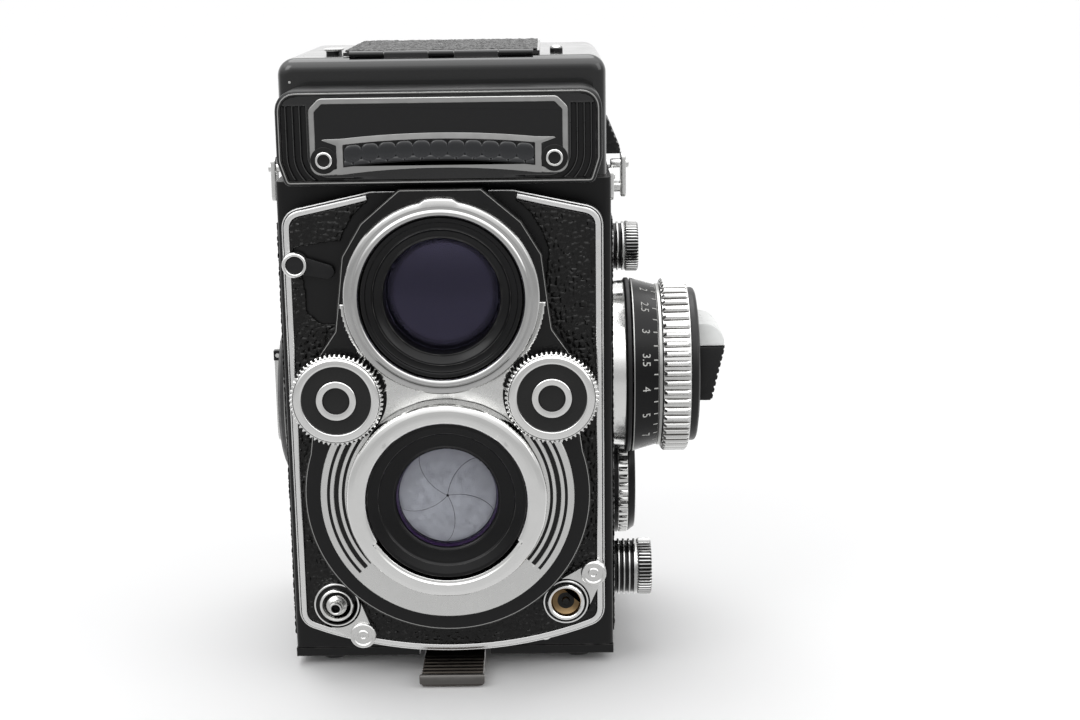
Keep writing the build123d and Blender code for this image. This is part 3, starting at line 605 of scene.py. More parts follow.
def thin_glass(name, through, sheen):
    """A coated lens face: mostly see-through, with a coloured sheen that grows towards grazing angles."""
    material = bpy.data.materials.new(name)
    material.use_nodes = True
    nodes, links = material.node_tree.nodes, material.node_tree.links
    nodes.remove(nodes["Principled BSDF"])
    clear = nodes.new("ShaderNodeBsdfTransparent")
    clear.inputs["Color"].default_value = (*through, 1)
    gloss = nodes.new("ShaderNodeBsdfGlossy")
    gloss.inputs["Color"].default_value = (*sheen, 1)
    fresnel = nodes.new("ShaderNodeFresnel")
    fresnel.inputs["IOR"].default_value = 1.45
    smear = nodes.new("ShaderNodeTexNoise")
    smear.inputs["Scale"].default_value = 90
    place = nodes.new("ShaderNodeTexCoord")
    links.new(place.outputs["Object"], smear.inputs["Vector"])
    vary = nodes.new("ShaderNodeMapRange")
    vary.inputs["To Max"].default_value = 0.035
    links.new(smear.outputs["Fac"], vary.inputs["Value"])
    links.new(vary.outputs["Result"], gloss.inputs["Roughness"])
    mix = nodes.new("ShaderNodeMixShader")
    links.new(fresnel.outputs["Fac"], mix.inputs[0])
    links.new(clear.outputs["BSDF"], mix.inputs[1])
    links.new(gloss.outputs["BSDF"], mix.inputs[2])
    links.new(mix.outputs["Shader"], nodes["Material Output"].inputs["Surface"])
    return material


VIEWING_FACE = thin_glass("viewing_lens_face", (0.75, 0.72, 0.9), (0.27, 0.245, 0.40))
TAKING_FACE = thin_glass("taking_lens_face", (0.93, 0.93, 0.96), (0.6, 0.5, 0.8))


# ---------------------------------------------------------------- outlines of the front


def shield():
    """The front plate's outline, counter-clockwise: bowed foot, straight sides, sloping shoulders."""
    foot = []
    for x in np.linspace(-30, 30, 21):
        foot.append((x, SHIELD_LOW[2] + SHIELD_FOOT_RADIUS - math.sqrt(SHIELD_FOOT_RADIUS**2 - x * x)))
    half, top = SHIELD_HIGH[0], SHIELD_HIGH[2]
    right = [(half - 0.2, 13.4), (half, top - 4.4), (16, top)]
    left = [(-x, z) for x, z in reversed(right)]
    return round_path(foot + right + left, [0] * len(foot) + [4.5, 4.5, 2, 2, 4.5, 4.5])


def housing_outline():
    """Figure of eight round both lenses."""
    top = limits("lens_housing")[1][2]
    shoulder = [(28.4, 80), (24.6, 85.5), (24, 90), (22.5, 102.5), (18, 110), (9.2, top)]
    disc = []
    for degrees in np.linspace(-198, 18, 60):
        angle = math.radians(degrees)
        disc.append((HOUSING_RADIUS * math.cos(angle), TAKING[1] + HOUSING_RADIUS * math.sin(angle)))
    return np.array(disc + shoulder + [(-x, z) for x, z in reversed(shoulder)])


def inside(path, x, z):
    """Which of many points lie inside a closed path."""
    path = np.asarray(path, float)
    found = np.zeros(x.shape, bool)
    for (x0, z0), (x1, z1) in zip(path, np.roll(path, -1, axis=0)):
        if z0 == z1:
            continue
        crosses = (z0 > z) != (z1 > z)
        found ^= crosses & (x < (x1 - x0) * (z - z0) / (z1 - z0) + x0)
    return found


SHIELD = shield()
HOUSING = housing_outline()


# ---------------------------------------------------------------- leatherette


def pebble_height(u, v, size, seed):
    """Rounded pebbles between creases, 0 to 1, from the two nearest of many scattered points."""
    rng = np.random.default_rng(seed)
    warp = 0.35 * size
    u = u + warp * np.sin(v / (1.9 * size) + 1.3) + 0.3 * warp * np.sin(u / (0.8 * size) + 0.4)
    v = v + warp * np.sin(u / (2.3 * size) + 0.7)
    column, row = np.floor(u / size).astype(int), np.floor(v / size).astype(int)
    low_column, low_row = column.min() - 2, row.min() - 2
    shape = (column.max() - low_column + 3, row.max() - low_row + 3)
    scatter_u, scatter_v = rng.random(shape), rng.random(shape)
    tall = 0.55 + 0.45 * rng.random(shape)
    nearest = np.full(u.shape, 9.0)
    second = np.full(u.shape, 9.0)
    height = np.zeros(u.shape)
    for du in (-1, 0, 1):
        for dv in (-1, 0, 1):
            i, j = column + du - low_column, row + dv - low_row
            point_u = (column + du + scatter_u[i, j]) * size
            point_v = (row + dv + scatter_v[i, j]) * size
            distance = np.hypot(u - point_u, v - point_v) / size
            closer = distance < nearest
            second = np.where(closer, nearest, np.minimum(second, distance))
            height = np.where(closer, tall[i, j], height)
            nearest = np.where(closer, distance, nearest)
    crease = np.clip((second - nearest) / 0.42, 0, 1)
    return height * crease * crease * (3 - 2 * crease) * (1 - 0.25 * nearest)


def leather_sheet(name, u_range, v_range, keep, place, body, node, seed, relief=0.42, step=0.3):
    """A pebbled sheet for a CAD covering.

    place(u, v, height) gives points in space, and keep(u, v) the part that is covered.
    """
    u = np.arange(u_range[0], u_range[1] + step / 2, step)
    v = np.arange(v_range[0], v_range[1] + step / 2, step)
    grid_u, grid_v = np.meshgrid(u, v, indexing="ij")
    coarse = pebble_height(grid_u, grid_v, 1.4, seed)
    fine = pebble_height(grid_u, grid_v, 0.7, seed + 1)
    height = relief * (0.75 * coarse + 0.25 * fine)
    mesh = open_sheet(place(grid_u, grid_v, height), keep(grid_u, grid_v))
    piece = stand_in(mesh, name, [LEATHER], body, node, sheet=True)
    thicken(piece, 0.25, 0)


def front_leather():
    """Leatherette on the front plate, clear of the rim, the housing and the timing lever's smooth panel."""
    outer = inset(resample(SHIELD, 1.0), 1.75)
    path = resample(HOUSING, 1.0)
    shoulder = np.clip((path[:, 1] - 94) / 12, 0, 1)[:, None]
    inner = path + normals_2d(path) * (0.5 - 2.7 * shoulder)
    panel = [
        (-34.5, 103.8), (-24.5, 105.2), (-16.0, 105.2), (-16.0, 86.5), (-28.0, 86.2), (-31.2, 89.0),
        (-31.6, 96.0),
    ]
    panel = round_path(panel, 1.5)

    def keep(x, z):
        clear = np.ones(x.shape, bool)
        for centre in (RELEASE, FLASH):
            clear &= np.hypot(x - centre[0], z - centre[1]) > 5.2
        return clear & inside(outer, x, z) & ~inside(inner, x, z) & ~inside(panel, x, z)

    def place(x, z, height):
        return np.stack([x, LEATHER_FACE + 0.1 - height, z], axis=-1)

    leather_sheet("front_leatherette", (-36, 36), (6, 117), keep, place, FRONT, "front_covering", 11)


def side_leather():
    """Leatherette on both sides of the body, cut round the knobs and the crank."""
    node = "side_coverings"
    low, high = limits(node)
    holes = {1: ((FOCUS, 21.2), (DIAL, 15.4), (UPPER_KNOB, 6.2), (LOWER_KNOB, 7.0)), -1: ((CRANK, 21.2),)}
    for side, name in ((1, "side_leatherette_right"), (-1, "side_leatherette_left")):
        def keep(y, z, side=side):
            covered = (y > low[1]) & (y < high[1]) & (z > low[2]) & (z < high[2])
            for centre, radius in holes[side]:
                covered &= np.hypot(y - centre[0], z - centre[1]) > radius
            return covered

        def place(y, z, height, side=side):
            return np.stack([side * (high[0] - 0.2 + height), y, z], axis=-1)

        spans = (low[1], high[1]), (low[2], high[2])
        leather_sheet(name, *spans, keep, place, "body", node, 20 + side, 0.32, 0.36)


def back_leather():
    """Leatherette on the rear wall and on the bulge over the pressure plate."""
    node = "back_covering"
    low, high = limits(node)

    def on_wall(x, z):
        clear = (np.abs(x) > 32.6) | (z < 13.4) | (z > 82.6)
        return (np.abs(x) < high[0]) & (z > low[2]) & (z < high[2]) & clear

    def on_bulge(x, z):
        return (np.abs(x) < 29.5) & (z > 16.5) & (z < 79.5)

    for name, keep, level, seed in (
        ("back_leatherette", on_wall, low[1] + 0.25, 31),
        ("bulge_leatherette", on_bulge, high[1] - 0.15, 33),
    ):
        def place(x, z, height, level=level):
            return np.stack([x, level + height, z], axis=-1)

        leather_sheet(name, (low[0], high[0]), (low[2], high[2]), keep, place, "back", node, seed, 0.32, 0.36)


def lid_leather():
    """Leatherette panel on the hood lid, with rounded corners."""
    node = "lid_covering"
    low, high = limits(node)
    outline = round_path([(low[0], low[1]), (high[0], low[1]), (high[0], high[1]), (low[0], high[1])], 1.5)

    def keep(x, y):
        return inside(outline, x, y)

    def place(x, y, height):
        return np.stack([x, y, high[2] - 0.2 + height], axis=-1)

    spans = (low[0], high[0]), (low[1], high[1])
    leather_sheet("lid_leatherette", *spans, keep, place, "hood_lid", node, 41, 0.26)


# ---------------------------------------------------------------- hood


def lid_catches():
    """Small sprung catch on each side of the lid, black with a bright top."""
    for side, name in ((-1, "lid_catch_left"), (1, "lid_catch_right")):
        outline = round_path([(24.9, -15.0), (27.9, -15.0), (27.9, -6.0), (24.9, -6.0)], 1.2)
        outline = outline * np.array([side, 1])
        parts = []
        for bottom, top, shrink, mark in ((145.4, 146.5, 0.0, 0), (146.4, 146.8, 0.5, 1)):
            loops = []
            for z, pull in ((bottom, 0.0), (top - 0.2, 0.0), (top, 0.25)):
                path = inset(outline, shrink + pull)
                loops.append(np.stack([path[:, 0], path[:, 1], np.full(len(path), z)], axis=1))
            parts.append(bridge(loops, caps=(False, True), mark=mark))
        add_to(join_meshes(parts), name, [BLACK_PLASTIC, CHROME], "body", "hood_frame")


def hood_dot():
    """Tiny white mark high on the left of the hood's front."""
    face = face_of("hood_frame")
    dot = [(0.3, face + 0.1), (0.28, face - 0.04), (0.05, face - 0.05)]
    mesh = turned(dot, (-34.6, 140.3), segments=24, edge=0)
    add_to(mesh, "hood_white_dot", [WHITE_PAINT], "body", "hood_frame")


# ---------------------------------------------------------------- front plate and lens housing


def part_of(path, keep):
    """The stretch of a closed path that keep() selects, starting after the gap."""
    selected = keep(path)
    start = next(i for i in range(len(path)) if selected[i] and not selected[i - 1])
    order = [(start + i) % len(path) for i in range(len(path))]
    return np.array([path[i] for i in order if selected[i]])


def front_rim():
    """Satin bar inside the plate's edge, ending in round tips beside the housing, and a bright outer line."""
    path = resample(SHIELD, 0.5)
    bar = part_of(inset(path, 1.15), lambda p: ~((np.abs(p[:, 0]) < 16.2) & (p[:, 1] > 100)))
    mesh = swept(bar, rounded_bar(1.3, 0.75, 0.3), y=PLATE_FACE, tip=0.7)
    stand_in(mesh, "front_rim_bar", [TRIM_CHROME], FRONT, "front_trim")
    line = part_of(inset(path, 0.15), lambda p: ~((np.abs(p[:, 0]) < 9.5) & (p[:, 1] > 100)))
    mesh = swept(line, half_round(0.34, 0.2), y=PLATE_FACE + 0.08)
    add_to(mesh, "front_plate_edge_line", [TRIM_CHROME], FRONT, "front_trim")


def housing_edge_line():
    """A thin bright line along the edge of the lens housing's face."""
    line = inset(resample(HOUSING, 0.6), 0.3)
    mesh = swept(line, half_round(0.2, 0.1), closed=True, y=HOUSING_FACE + 0.04)
    add_to(mesh, "housing_edge_line", [SILVER_LINE], FRONT, "shutter_bezel")


# ---------------------------------------------------------------- shutter bezel and bayonets


def smooth_band(value, low, high, soft):
    """1 between low and high, falling smoothly to 0 over soft at each end."""
    rise = np.clip((value - low) / soft + 0.5, 0, 1)
    fall = np.clip((high - value) / soft + 0.5, 0, 1)
    both = np.minimum(rise, fall)
    return both * both * (3 - 2 * both)


def polar_plate(radii, segments, limit, depth, paint, back):
    """A plate round the taking lens: limit(angle) trims it, depth(r, angle) shapes it, paint marks faces."""
    angles = np.linspace(0, TAU, segments, endpoint=False)
    outer = limit(angles)
    rings = [np.minimum(radius, outer) for radius in radii]
    levels = [depth(ring, angles) for ring in rings]
    loops = []
    for ring, level in zip(rings + rings[-1:], levels + [np.full(segments, back)]):
        loops.append(around("y", TAKING, ring * np.cos(angles), ring * np.sin(angles), level))
    points, faces, _ = bridge(loops, caps=(False, False))
    marks = []
    for ring, following in zip(rings, rings[1:]):
        marks += paint((ring + following) / 2, angles).astype(int).tolist()
    return points, faces, marks + [0] * segments


def shutter_bezel():
    """Bright plate with three black lines on each side, cut away round the wheels."""
    wheel = SPEED_WHEEL - TAKING
    wheel_reach = np.hypot(*wheel)
    wheel_angle = math.atan2(wheel[1], wheel[0])
    lines = ((27.35, 0.30), (25.6, 0.52), (23.95, 0.30))

    def limit(angles):
        outer = np.full(angles.shape, 29.2)
        for centre in (wheel_angle, math.pi - wheel_angle):
            off = wheel_reach * np.sin(angles - centre)
            ahead = wheel_reach * np.cos(angles - centre)
            hit = (np.abs(off) < WHEEL_CLEARANCE) & (ahead > 0)
            near = ahead - np.sqrt(np.maximum(WHEEL_CLEARANCE**2 - off**2, 0))
            outer = np.where(hit, np.minimum(outer, np.maximum(near, 23.05)), outer)
        return outer

    def side_mask(angles):
        lean = np.abs(np.degrees(np.arctan2(np.sin(angles), np.abs(np.cos(angles)))) - 6)
        return smooth_band(lean, -1, 47, 1.2)

    def groove(radius, angles):
        deep = np.zeros(radius.shape)
        for centre, half in lines:
            deep = np.maximum(deep, smooth_band(radius, centre - half, centre + half, 0.16))
        return deep * side_mask(angles)

    def dip(radius, angles):
        """Hollow above the taking ring, where the bridge falls away to it."""
        up = smooth_band(np.degrees(angles), 42, 138, 16)
        return up * np.clip((BRIDGE_FOOT - radius) / 3.8, 0, 1) ** 1.5

    def depth(radius, angles):
        edge = 0.25 * np.clip((radius - 28.95) / 0.25, 0, 1) ** 2
        return BEZEL_FACE + 0.22 * groove(radius, angles) + 0.5 * dip(radius, angles) + edge

    def paint(radius, angles):
        return groove(radius, angles) > 0.45

    radii = [18.3, 20.0, 22.0] + list(np.arange(23.0, 29.21, 0.1))
    mesh = polar_plate(radii, 480, limit, depth, paint, HOUSING_FACE)
    stand_in(mesh, "shutter_bezel_plate", [CHROME, BLACK_PAINT_AND_SEAM_SHADE], FRONT, "shutter_bezel")


def bridge_plate():
    """Bright plate between the wheels, with horns that reach up round the viewing ring."""
    wheel = SPEED_WHEEL
    step = 0.3
    x = np.arange(-24, 24 + step / 2, step)
    z = np.arange(58, 92, step)
    grid_x, grid_z = np.meshgrid(x, z, indexing="ij")
    from_wheel = np.hypot(np.abs(grid_x) - wheel[0], grid_z - wheel[1])
    from_viewing = np.hypot(grid_x, grid_z - VIEWING[1])
    from_taking = np.hypot(grid_x, grid_z - TAKING[1])
    kept = (from_wheel > WHEEL_CLEARANCE) & (from_viewing > 20.5) & (from_taking > BRIDGE_FOOT)
    kept &= (from_viewing < 23.3) | (grid_z < 77)
    kept &= np.abs(grid_x) < wheel[0]
    depth = BEZEL_FACE - 0.02 + 0.25 * smooth_band(from_viewing, 21.0, 22.4, 0.8)
    depth = depth + 0.12 * np.clip((BRIDGE_FOOT + 1.5 - from_taking) / 0.6, 0, 1)
    hug = from_wheel < WHEEL_CLEARANCE + 0.45
    pull = np.where(hug, WHEEL_CLEARANCE / np.maximum(from_wheel, 1), 1)
    side = np.sign(grid_x)
    grid_x = side * wheel[0] + (grid_x - side * wheel[0]) * pull
    grid_z = wheel[1] + (grid_z - wheel[1]) * pull
    mesh = open_sheet(np.stack([grid_x, depth, grid_z], axis=-1), kept)
    plate = add_to(mesh, "bridge_plate", [CHROME], FRONT, "shutter_bezel", sheet=True)
    thicken(plate, 1.1, -1)


def bayonet_recess(angles, starts, width):
    """1 in each of the inner recesses of a bayonet ring."""
    degrees = np.degrees(angles) % 360
    deep = np.zeros(angles.shape)
    for start in starts:
        off = (degrees - start + 180) % 360 - 180
        deep = np.maximum(deep, smooth_band(off, -width / 2, width / 2, 5))
    return deep


def viewing_bayonet():
    """Bright ring round the viewing lens: flat rim, thin inner ring, and a dark slot along its foot."""
    face = BAYONET_FACE
    profile = [
        (21.9, HOUSING_FACE), (21.9, face + 1.4), (21.5, face + 0.75), (20.6, face + 0.45),
        (20.2, face + 0.5), (19.95, face + 0.55), (19.7, face + 0.3), (19.3, face + 0.12),
        (18.75, face + 0.3), (18.4, face + 0.8), (18.3, face + 1.6), (18.3, HOUSING_FACE),
    ]

    def wobble(radius, depth, angles):
        slot = bayonet_recess(angles, (270,), 92)
        tab = bayonet_recess(angles, (90,), 20)
        out = np.zeros(angles.shape)
        along = np.zeros(angles.shape)
        if 19.9 < radius < 20.3:
            along = 0.9 * slot
        if radius > 21.0:
            out = 0.55 * tab
        return out, along

    mesh = turned(profile, VIEWING, segments=360, wobble=wobble, edge=0.12)
    stand_in(mesh, "viewing_bayonet_ring", [GREY_CHROME], FRONT, "viewing_bayonet")


def taking_bayonet():
    """Wide bright ring round the taking lens, stepped back along the lower part of its mouth."""
    face = BAYONET_FACE + 0.3
    profile = [
        (23.0, BEZEL_FACE + 0.2), (22.9, face + 1.2), (22.4, face + 0.5), (21.4, face + 0.2),
        (20.4, face + 0.1), (19.9, face + 0.08), (19.6, face + 0.08), (18.9, face + 0.15),
        (18.5, face + 0.4), (18.3, face + 1.1), (18.25, BEZEL_FACE),
    ]

    def wobble(radius, depth, angles):
        foot = bayonet_recess(angles, (270,), 118)
        notches = bayonet_recess(angles, (48, 132), 7)
        worn = 0.05 * np.sin(17 * angles) * np.sin(5.3 * angles + 1)
        out = np.zeros(angles.shape)
        along = np.zeros(angles.shape)
        if radius < 19.7 and depth < face + 2:
            along = 0.9 * foot + 0.35 * notches
        if radius < 19.0 and depth < face + 2:
            out = 0.55 * foot
        if radius > 22.0:
            out = worn
        return out, along

    mesh = turned(profile, TAKING, segments=360, wobble=wobble, edge=0.12)
    stand_in(mesh, "taking_bayonet_ring", [BRIGHT_CHROME], FRONT, "taking_bayonet")


# ---------------------------------------------------------------- lenses


def lens_barrels():
    """Stepped black rings between each bayonet ring and its glass."""
    viewing = [
        (18.15, -44.5), (18.15, -51.3), (17.9, -51.6), (17.1, -51.4), (16.9, -50.9), (15.7, -50.6),
        (15.4, -50.9), (15.1, -50.4), (13.6, -49.3), (13.3, -49.5), (13.05, -49.1), (12.9, -47.2),
        (12.9, -44.6),
    ]
    mesh = turned(viewing, VIEWING, segments=192, edge=0.14)
    stand_in(mesh, "viewing_lens_barrel", [GLOSS_ENAMEL], FRONT, "viewing_barrel")
    taking = [
        (18.15, -44.5), (18.15, -50.7), (17.8, -51.0), (17.2, -50.8), (17.0, -50.3), (16.0, -50.0),
        (15.75, -50.3), (15.4, -49.8), (14.9, -49.7), (12.6, -49.0), (12.3, -49.2), (11.9, -48.9),
        (11.65, -48.4), (11.3, -46.6), (11.1, -45.25),
    ]
    mesh = turned(taking, TAKING, segments=192, edge=0.14, marks=[0] * 12 + [1, 1])
    add_to(mesh, "taking_lens_barrel", [GLOSS_ENAMEL, VIOLET_WALL], FRONT, "shutter_housing")


def glass_cap(radius, rim, rise, at):
    """Domed front face of a lens element."""
    ball = (radius * radius + rise * rise) / (2 * rise)
    profile = []
    for r in np.linspace(radius, 0.05, 14):
        profile.append((r, rim - (math.sqrt(ball * ball - r * r) - (ball - rise))))
    return turned(profile, at, segments=96, edge=0)


def lens_glasses():
    """Front glasses, and the coated face deeper inside the viewing lens."""
    for name, radius, rim, rise, at, material, node in (
        ("viewing_front_glass", 12.9, -46.4, 1.7, VIEWING, VIEWING_FACE, "viewing_glass"),
        ("viewing_inner_glass", 12.6, -44.9, 0.9, VIEWING, VIEWING_COAT, "viewing_glass"),
        ("taking_front_glass", 11.5, -47.2, 1.5, TAKING, TAKING_FACE, "taking_glass"),
    ):
        add_to(glass_cap(radius, rim, rise, at), name, [material], FRONT, node)


def shutter_leaves():
    """Five grey shutter leaves lying over one another like a closed iris, with dark seams between them: a
    black disc behind the leaves shows through the gaps as painted shade.
    """
    leaves, radius, base = 5, 11.1, -45.4
    spread = TAU / leaves
    # Painted shade: a black disc behind the leaves darkens the seams between them.
    mesh = turned([(radius, base + 0.12), (0.05, base + 0.12)], TAKING, segments=96, edge=0)
    add_to(mesh, "shutter_leaf_backing", [BLACK_PAINT_AND_SEAM_SHADE], FRONT, "shutter_blades")

    def seam(start):
        """Curved edge of a leaf from the middle outwards."""
        share = np.linspace(0.03, 1, 16)
        angle = start + 0.55 * (1 - share) ** 0.8 - 0.25
        return radius * np.stack([share * np.cos(angle), share * np.sin(angle)], axis=1)

    for index in range(leaves):
        start = math.radians(66) + index * spread
        arc_angles = np.linspace(start - 0.25, start - 0.25 + spread, 20)[1:-1]
        arc = radius * np.stack([np.cos(arc_angles), np.sin(arc_angles)], axis=1)
        path = np.vstack([seam(start), arc, seam(start + spread)[::-1]])
        path = inset(path, 0.05)
        angle = np.mod(np.arctan2(path[:, 1], path[:, 0]) - start + 0.4, TAU) / spread
        reach = np.hypot(path[:, 0], path[:, 1]) / radius
        lift = 0.22 * np.clip(angle, 0, 1) * np.clip(2 * reach, 0, 1)
        front = facing(path + TAKING, base)
        front[:, 1] -= lift
        back = front.copy()
        back[:, 1] += 0.08
        make = add_to if index else stand_in
        mesh = bridge([front, back])
        make(mesh, f"shutter_leaf_{index + 1}", [LEAF], FRONT, "shutter_blades", smooth=False)


# ---------------------------------------------------------------- control wheels


def knurled_path(radius, depth, count, per_tooth=8, land=0.0):
    """A closed circle with ribs; land widens the ribs' tops and narrows the grooves between them."""
    angles = np.linspace(0, TAU, count * per_tooth, endpoint=False)
    wave = np.clip((1.4 + land) * np.cos(count * angles) + land, -1, 1)
    ring = radius - depth / 2 + depth / 2 * wave
    return np.stack([ring * np.cos(angles), ring * np.sin(angles)], axis=1)


def ribbed_band(at, radius, rib, count, depths, axis="y", land=0.0, per_tooth=8, groove_mark=0):
    """A band of ribs with chamfered ends, from one depth to another; groove_mark colours the grooves."""
    low, high = depths
    run = high - low
    stations = [
        (low, radius - rib - 0.1, 0.0),
        (low + 0.04 * run, radius - 0.45 * rib, 0.5),
        (low + 0.12 * run, radius, 1.0),
        (high - 0.12 * run, radius, 1.0),
        (high - 0.04 * run, radius - 0.45 * rib, 0.5),
        (high, radius - rib - 0.1, 0.0),
    ]
    loops = []
    for depth, reach, share in stations:
        path = knurled_path(reach, rib * share, count, per_tooth, land)
        loops.append(around(axis, at, path[:, 0], path[:, 1], np.full(len(path), depth)))
    points, faces, _ = bridge(loops, caps=(False, False))
    phase = (np.arange(count * per_tooth) + 0.5) / per_tooth * TAU
    in_groove = (1.4 + land) * np.cos(phase) + land < -0.3
    return points, faces, np.where(in_groove, groove_mark, 0).tolist() * (len(loops) - 1)


def control_wheels():
    """Knurled wheels beside the lenses, with a matt inset, a silver ring and a black centre."""
    for node, name in (
        ("aperture_wheel", "aperture_wheel_knurled"),
        ("shutter_speed_wheel", "speed_wheel_knurled"),
    ):
        centre = front_centre(node)
        face, rear = face_of(node), BEZEL_FACE - 0.3
        band = ribbed_band(centre, 10.6, 0.65, 60, (face + 0.45, rear))
        profile = [
            (9.7, rear), (9.8, face + 0.7), (9.7, face + 0.35), (9.3, face + 0.1), (8.3, face),
            (7.95, face + 0.08), (7.8, face + 0.45), (4.65, face + 0.45), (4.5, face + 0.1),
            (4.3, face - 0.02), (3.1, face + 0.02), (2.95, face + 0.15), (2.85, face + 0.42),
            (0.05, face + 0.42),
        ]
        profile_marks = [0, 0, 0, 0, 0, 0, 2, 1, 0, 0, 1, 1, 2]
        disc = turned(profile, centre, segments=160, edge=0.08, marks=profile_marks)
        stand_in(join_meshes([band, disc]), name, [BRIGHT_CHROME, BLACK_PAINT_AND_SEAM_SHADE, WHEEL_INSET], node, node)


# ---------------------------------------------------------------- release, flash socket and timing lever


def tapered_lever(pivot, pad, pivot_radius, pad_radius, clear=0.0):
    """Outline of a lever: two circles joined by their outer tangents.

    With a clear radius, the pivot's disc is cut out by that radius.
    """
    pivot, pad = np.asarray(pivot, float), np.asarray(pad, float)
    reach = np.linalg.norm(pad - pivot)
    heading = math.atan2(pad[1] - pivot[1], pad[0] - pivot[0])
    lean = math.acos((pivot_radius - pad_radius) / reach)
    path = []
    if clear:
        arc, radius = np.linspace(heading + lean, heading - lean, 32), clear
    else:
        arc, radius = np.linspace(heading + lean, heading + TAU - lean, 48), pivot_radius
    for angle in arc:
        path.append(pivot + radius * np.array([math.cos(angle), math.sin(angle)]))
    for angle in np.linspace(heading - lean, heading + lean, 24):
        path.append(pad + pad_radius * np.array([math.cos(angle), math.sin(angle)]))
    return np.array(path)


def lock_lever(node, collar, pad_at, rim, name):
    """Bright lever that turns on a collar, with a dished round pad of radius rim."""
    face = face_of(node)
    arm = slab(tapered_lever(collar, pad_at, 5.6, 2.5, clear=5.52), face + 0.8, face + 2.0, 0.2, 0.5)
    profile = [
        (rim, face + 2.0), (rim, face + 0.3), (rim - 0.35, face), (rim - 0.75, face + 0.12),
        (rim - 0.95, face + 0.3), (1.35, face + 0.34), (1.15, face + 0.12), (0.75, face + 0.1),
        (0.6, face + 0.3), (0.05, face + 0.32),
    ]
    pad = turned(profile, pad_at, segments=96, edge=0.08)
    stand_in(join_meshes([arm, pad]), name, [CHROME], node, node)


def release_and_flash():
    """Shutter release and flash socket with their guard rings and lock levers."""
    lock_lever("release_lock_lever", RELEASE, (-21.1, 11.2), 3.1, "release_lock_arm")
    lock_lever("flash_lock_lever", FLASH, (33.55, 26.0), 3.0, "flash_lock_arm")
    wall = [(5.5, PLATE_FACE), (5.5, -41.9), (5.3, -42.5), (4.95, -42.6), (4.8, -42.4)]
    guard = wall + [(4.1, -42.4), (4.0, -42.9), (3.75, -43.2), (3.4, -43.1), (3.1, -42.3), (2.5, -42.1)]
    mesh = turned(guard, RELEASE, segments=96, edge=0.08, marks=[0, 0, 0, 1, 1, 0, 0, 0, 0, 1])
    stand_in(mesh, "release_guard_ring", [BRIGHT_CHROME, BLACK_PAINT_AND_SEAM_SHADE], FRONT, "release_collar")
    cup = [
        (2.45, -41.0), (2.5, -42.6), (2.4, -43.0), (1.75, -43.6), (1.6, -43.8), (1.6, -45.0), (1.45, -45.4),
        (1.15, -45.4), (0.95, -45.1), (0.9, -43.4), (0.05, -43.3),
    ]
    mesh = turned(cup, RELEASE, segments=72, edge=0.07, marks=[0] * 8 + [1, 1])
    stand_in(mesh, "release_cup", [CHROME, BLACK_PAINT_AND_SEAM_SHADE], "release_button", "release_button")
    socket = wall + [
        (4.5, -42.4), (4.4, -42.9), (4.1, -43.3), (3.7, -43.3), (3.4, -43.0), (3.2, -42.0), (2.0, -41.4),
        (0.9, -41.3), (0.75, -42.2), (0.05, -42.3),
    ]
    mesh = turned(socket, FLASH, segments=96, edge=0.07, marks=[0, 0, 0, 1, 1, 0, 0, 0, 0, 2, 2, 1, 2, 1])
    stand_in(mesh, "flash_socket_ring", [BRIGHT_CHROME, BLACK_PAINT_AND_SEAM_SHADE, BRASS], FRONT, "flash_socket")


def timing_lever():
    """Small black lever with a bright ring and a dark insert."""
    node = "sync_lever"
    face = face_of(node)
    pivot, knob = (-26.2, 98.5), (-33.4, 100.25)
    arm_face, arm_back = -42.0, -41.3
    arm = slab(tapered_lever(pivot, knob, 1.6, 2.2), arm_face, arm_back, 0.15, 0.4)
    profile = [
        (2.9, arm_back), (2.9, face + 0.35), (2.6, face), (2.15, face + 0.05), (2.0, face + 0.25),
        (1.9, face + 0.45), (0.05, face + 0.4),
    ]
    button = turned(profile, knob, segments=72, edge=0.08, marks=[1, 1, 1, 1, 0, 0])
    stand_in(join_meshes([arm, button]), "timing_lever_arm", [ANODISED, BRIGHT_CHROME], node, node)


# ---------------------------------------------------------------- nameplate and light cell


def window_arch(x, rise):
    """Height of an arch above the ends of the cell window, rise in the middle."""
    return rise * (1 - (x / WINDOW_REACH) ** 2)


def window_bottom(x):
    """Lower edge of the arched cell window."""
    return WINDOW_LOW[2] - 0.7 + window_arch(x, 1.3)


def window_top(x):
    """Upper edge of the arched cell window."""
    return WINDOW_HIGH[2] - 0.65 + window_arch(x, 1.1)


def nameplate_path():
    """The nameplate's outline: arched lower edge, round lower corners, cut upper corners."""
    half, top = PLATE_HIGH[0], PLATE_HIGH[2]
    reach = PLATE_FOOT_REACH
    lower = [(x, window_bottom(x) - 1.4) for x in np.linspace(-reach, reach, 31)]
    right = [(half, window_bottom(reach) - 1.5), (half, top - 2.4), (half - 2.4, top)]
    left = [(-x, z) for x, z in reversed(right)]
    radii = [PLATE_CORNER, 1.7, 1.7, 1.7, 1.7, PLATE_CORNER]
    return round_path(lower + right + left, [0] * len(lower) + radii)


def cover_path():
    """The black cover's outline: narrow foot, upright sides, round upper corners."""
    low, high = limits("nameplate_housing")
    half, top = high[0], high[2]
    right = [(half - 1.8, low[2]), (half, low[2] + 5.5), (half, top)]
    left = [(-x, z) for x, z in reversed(right)]
    return resample(round_path(right + left, [1.5, 4, 4.5, 4.5, 4, 1.5]), 0.7)


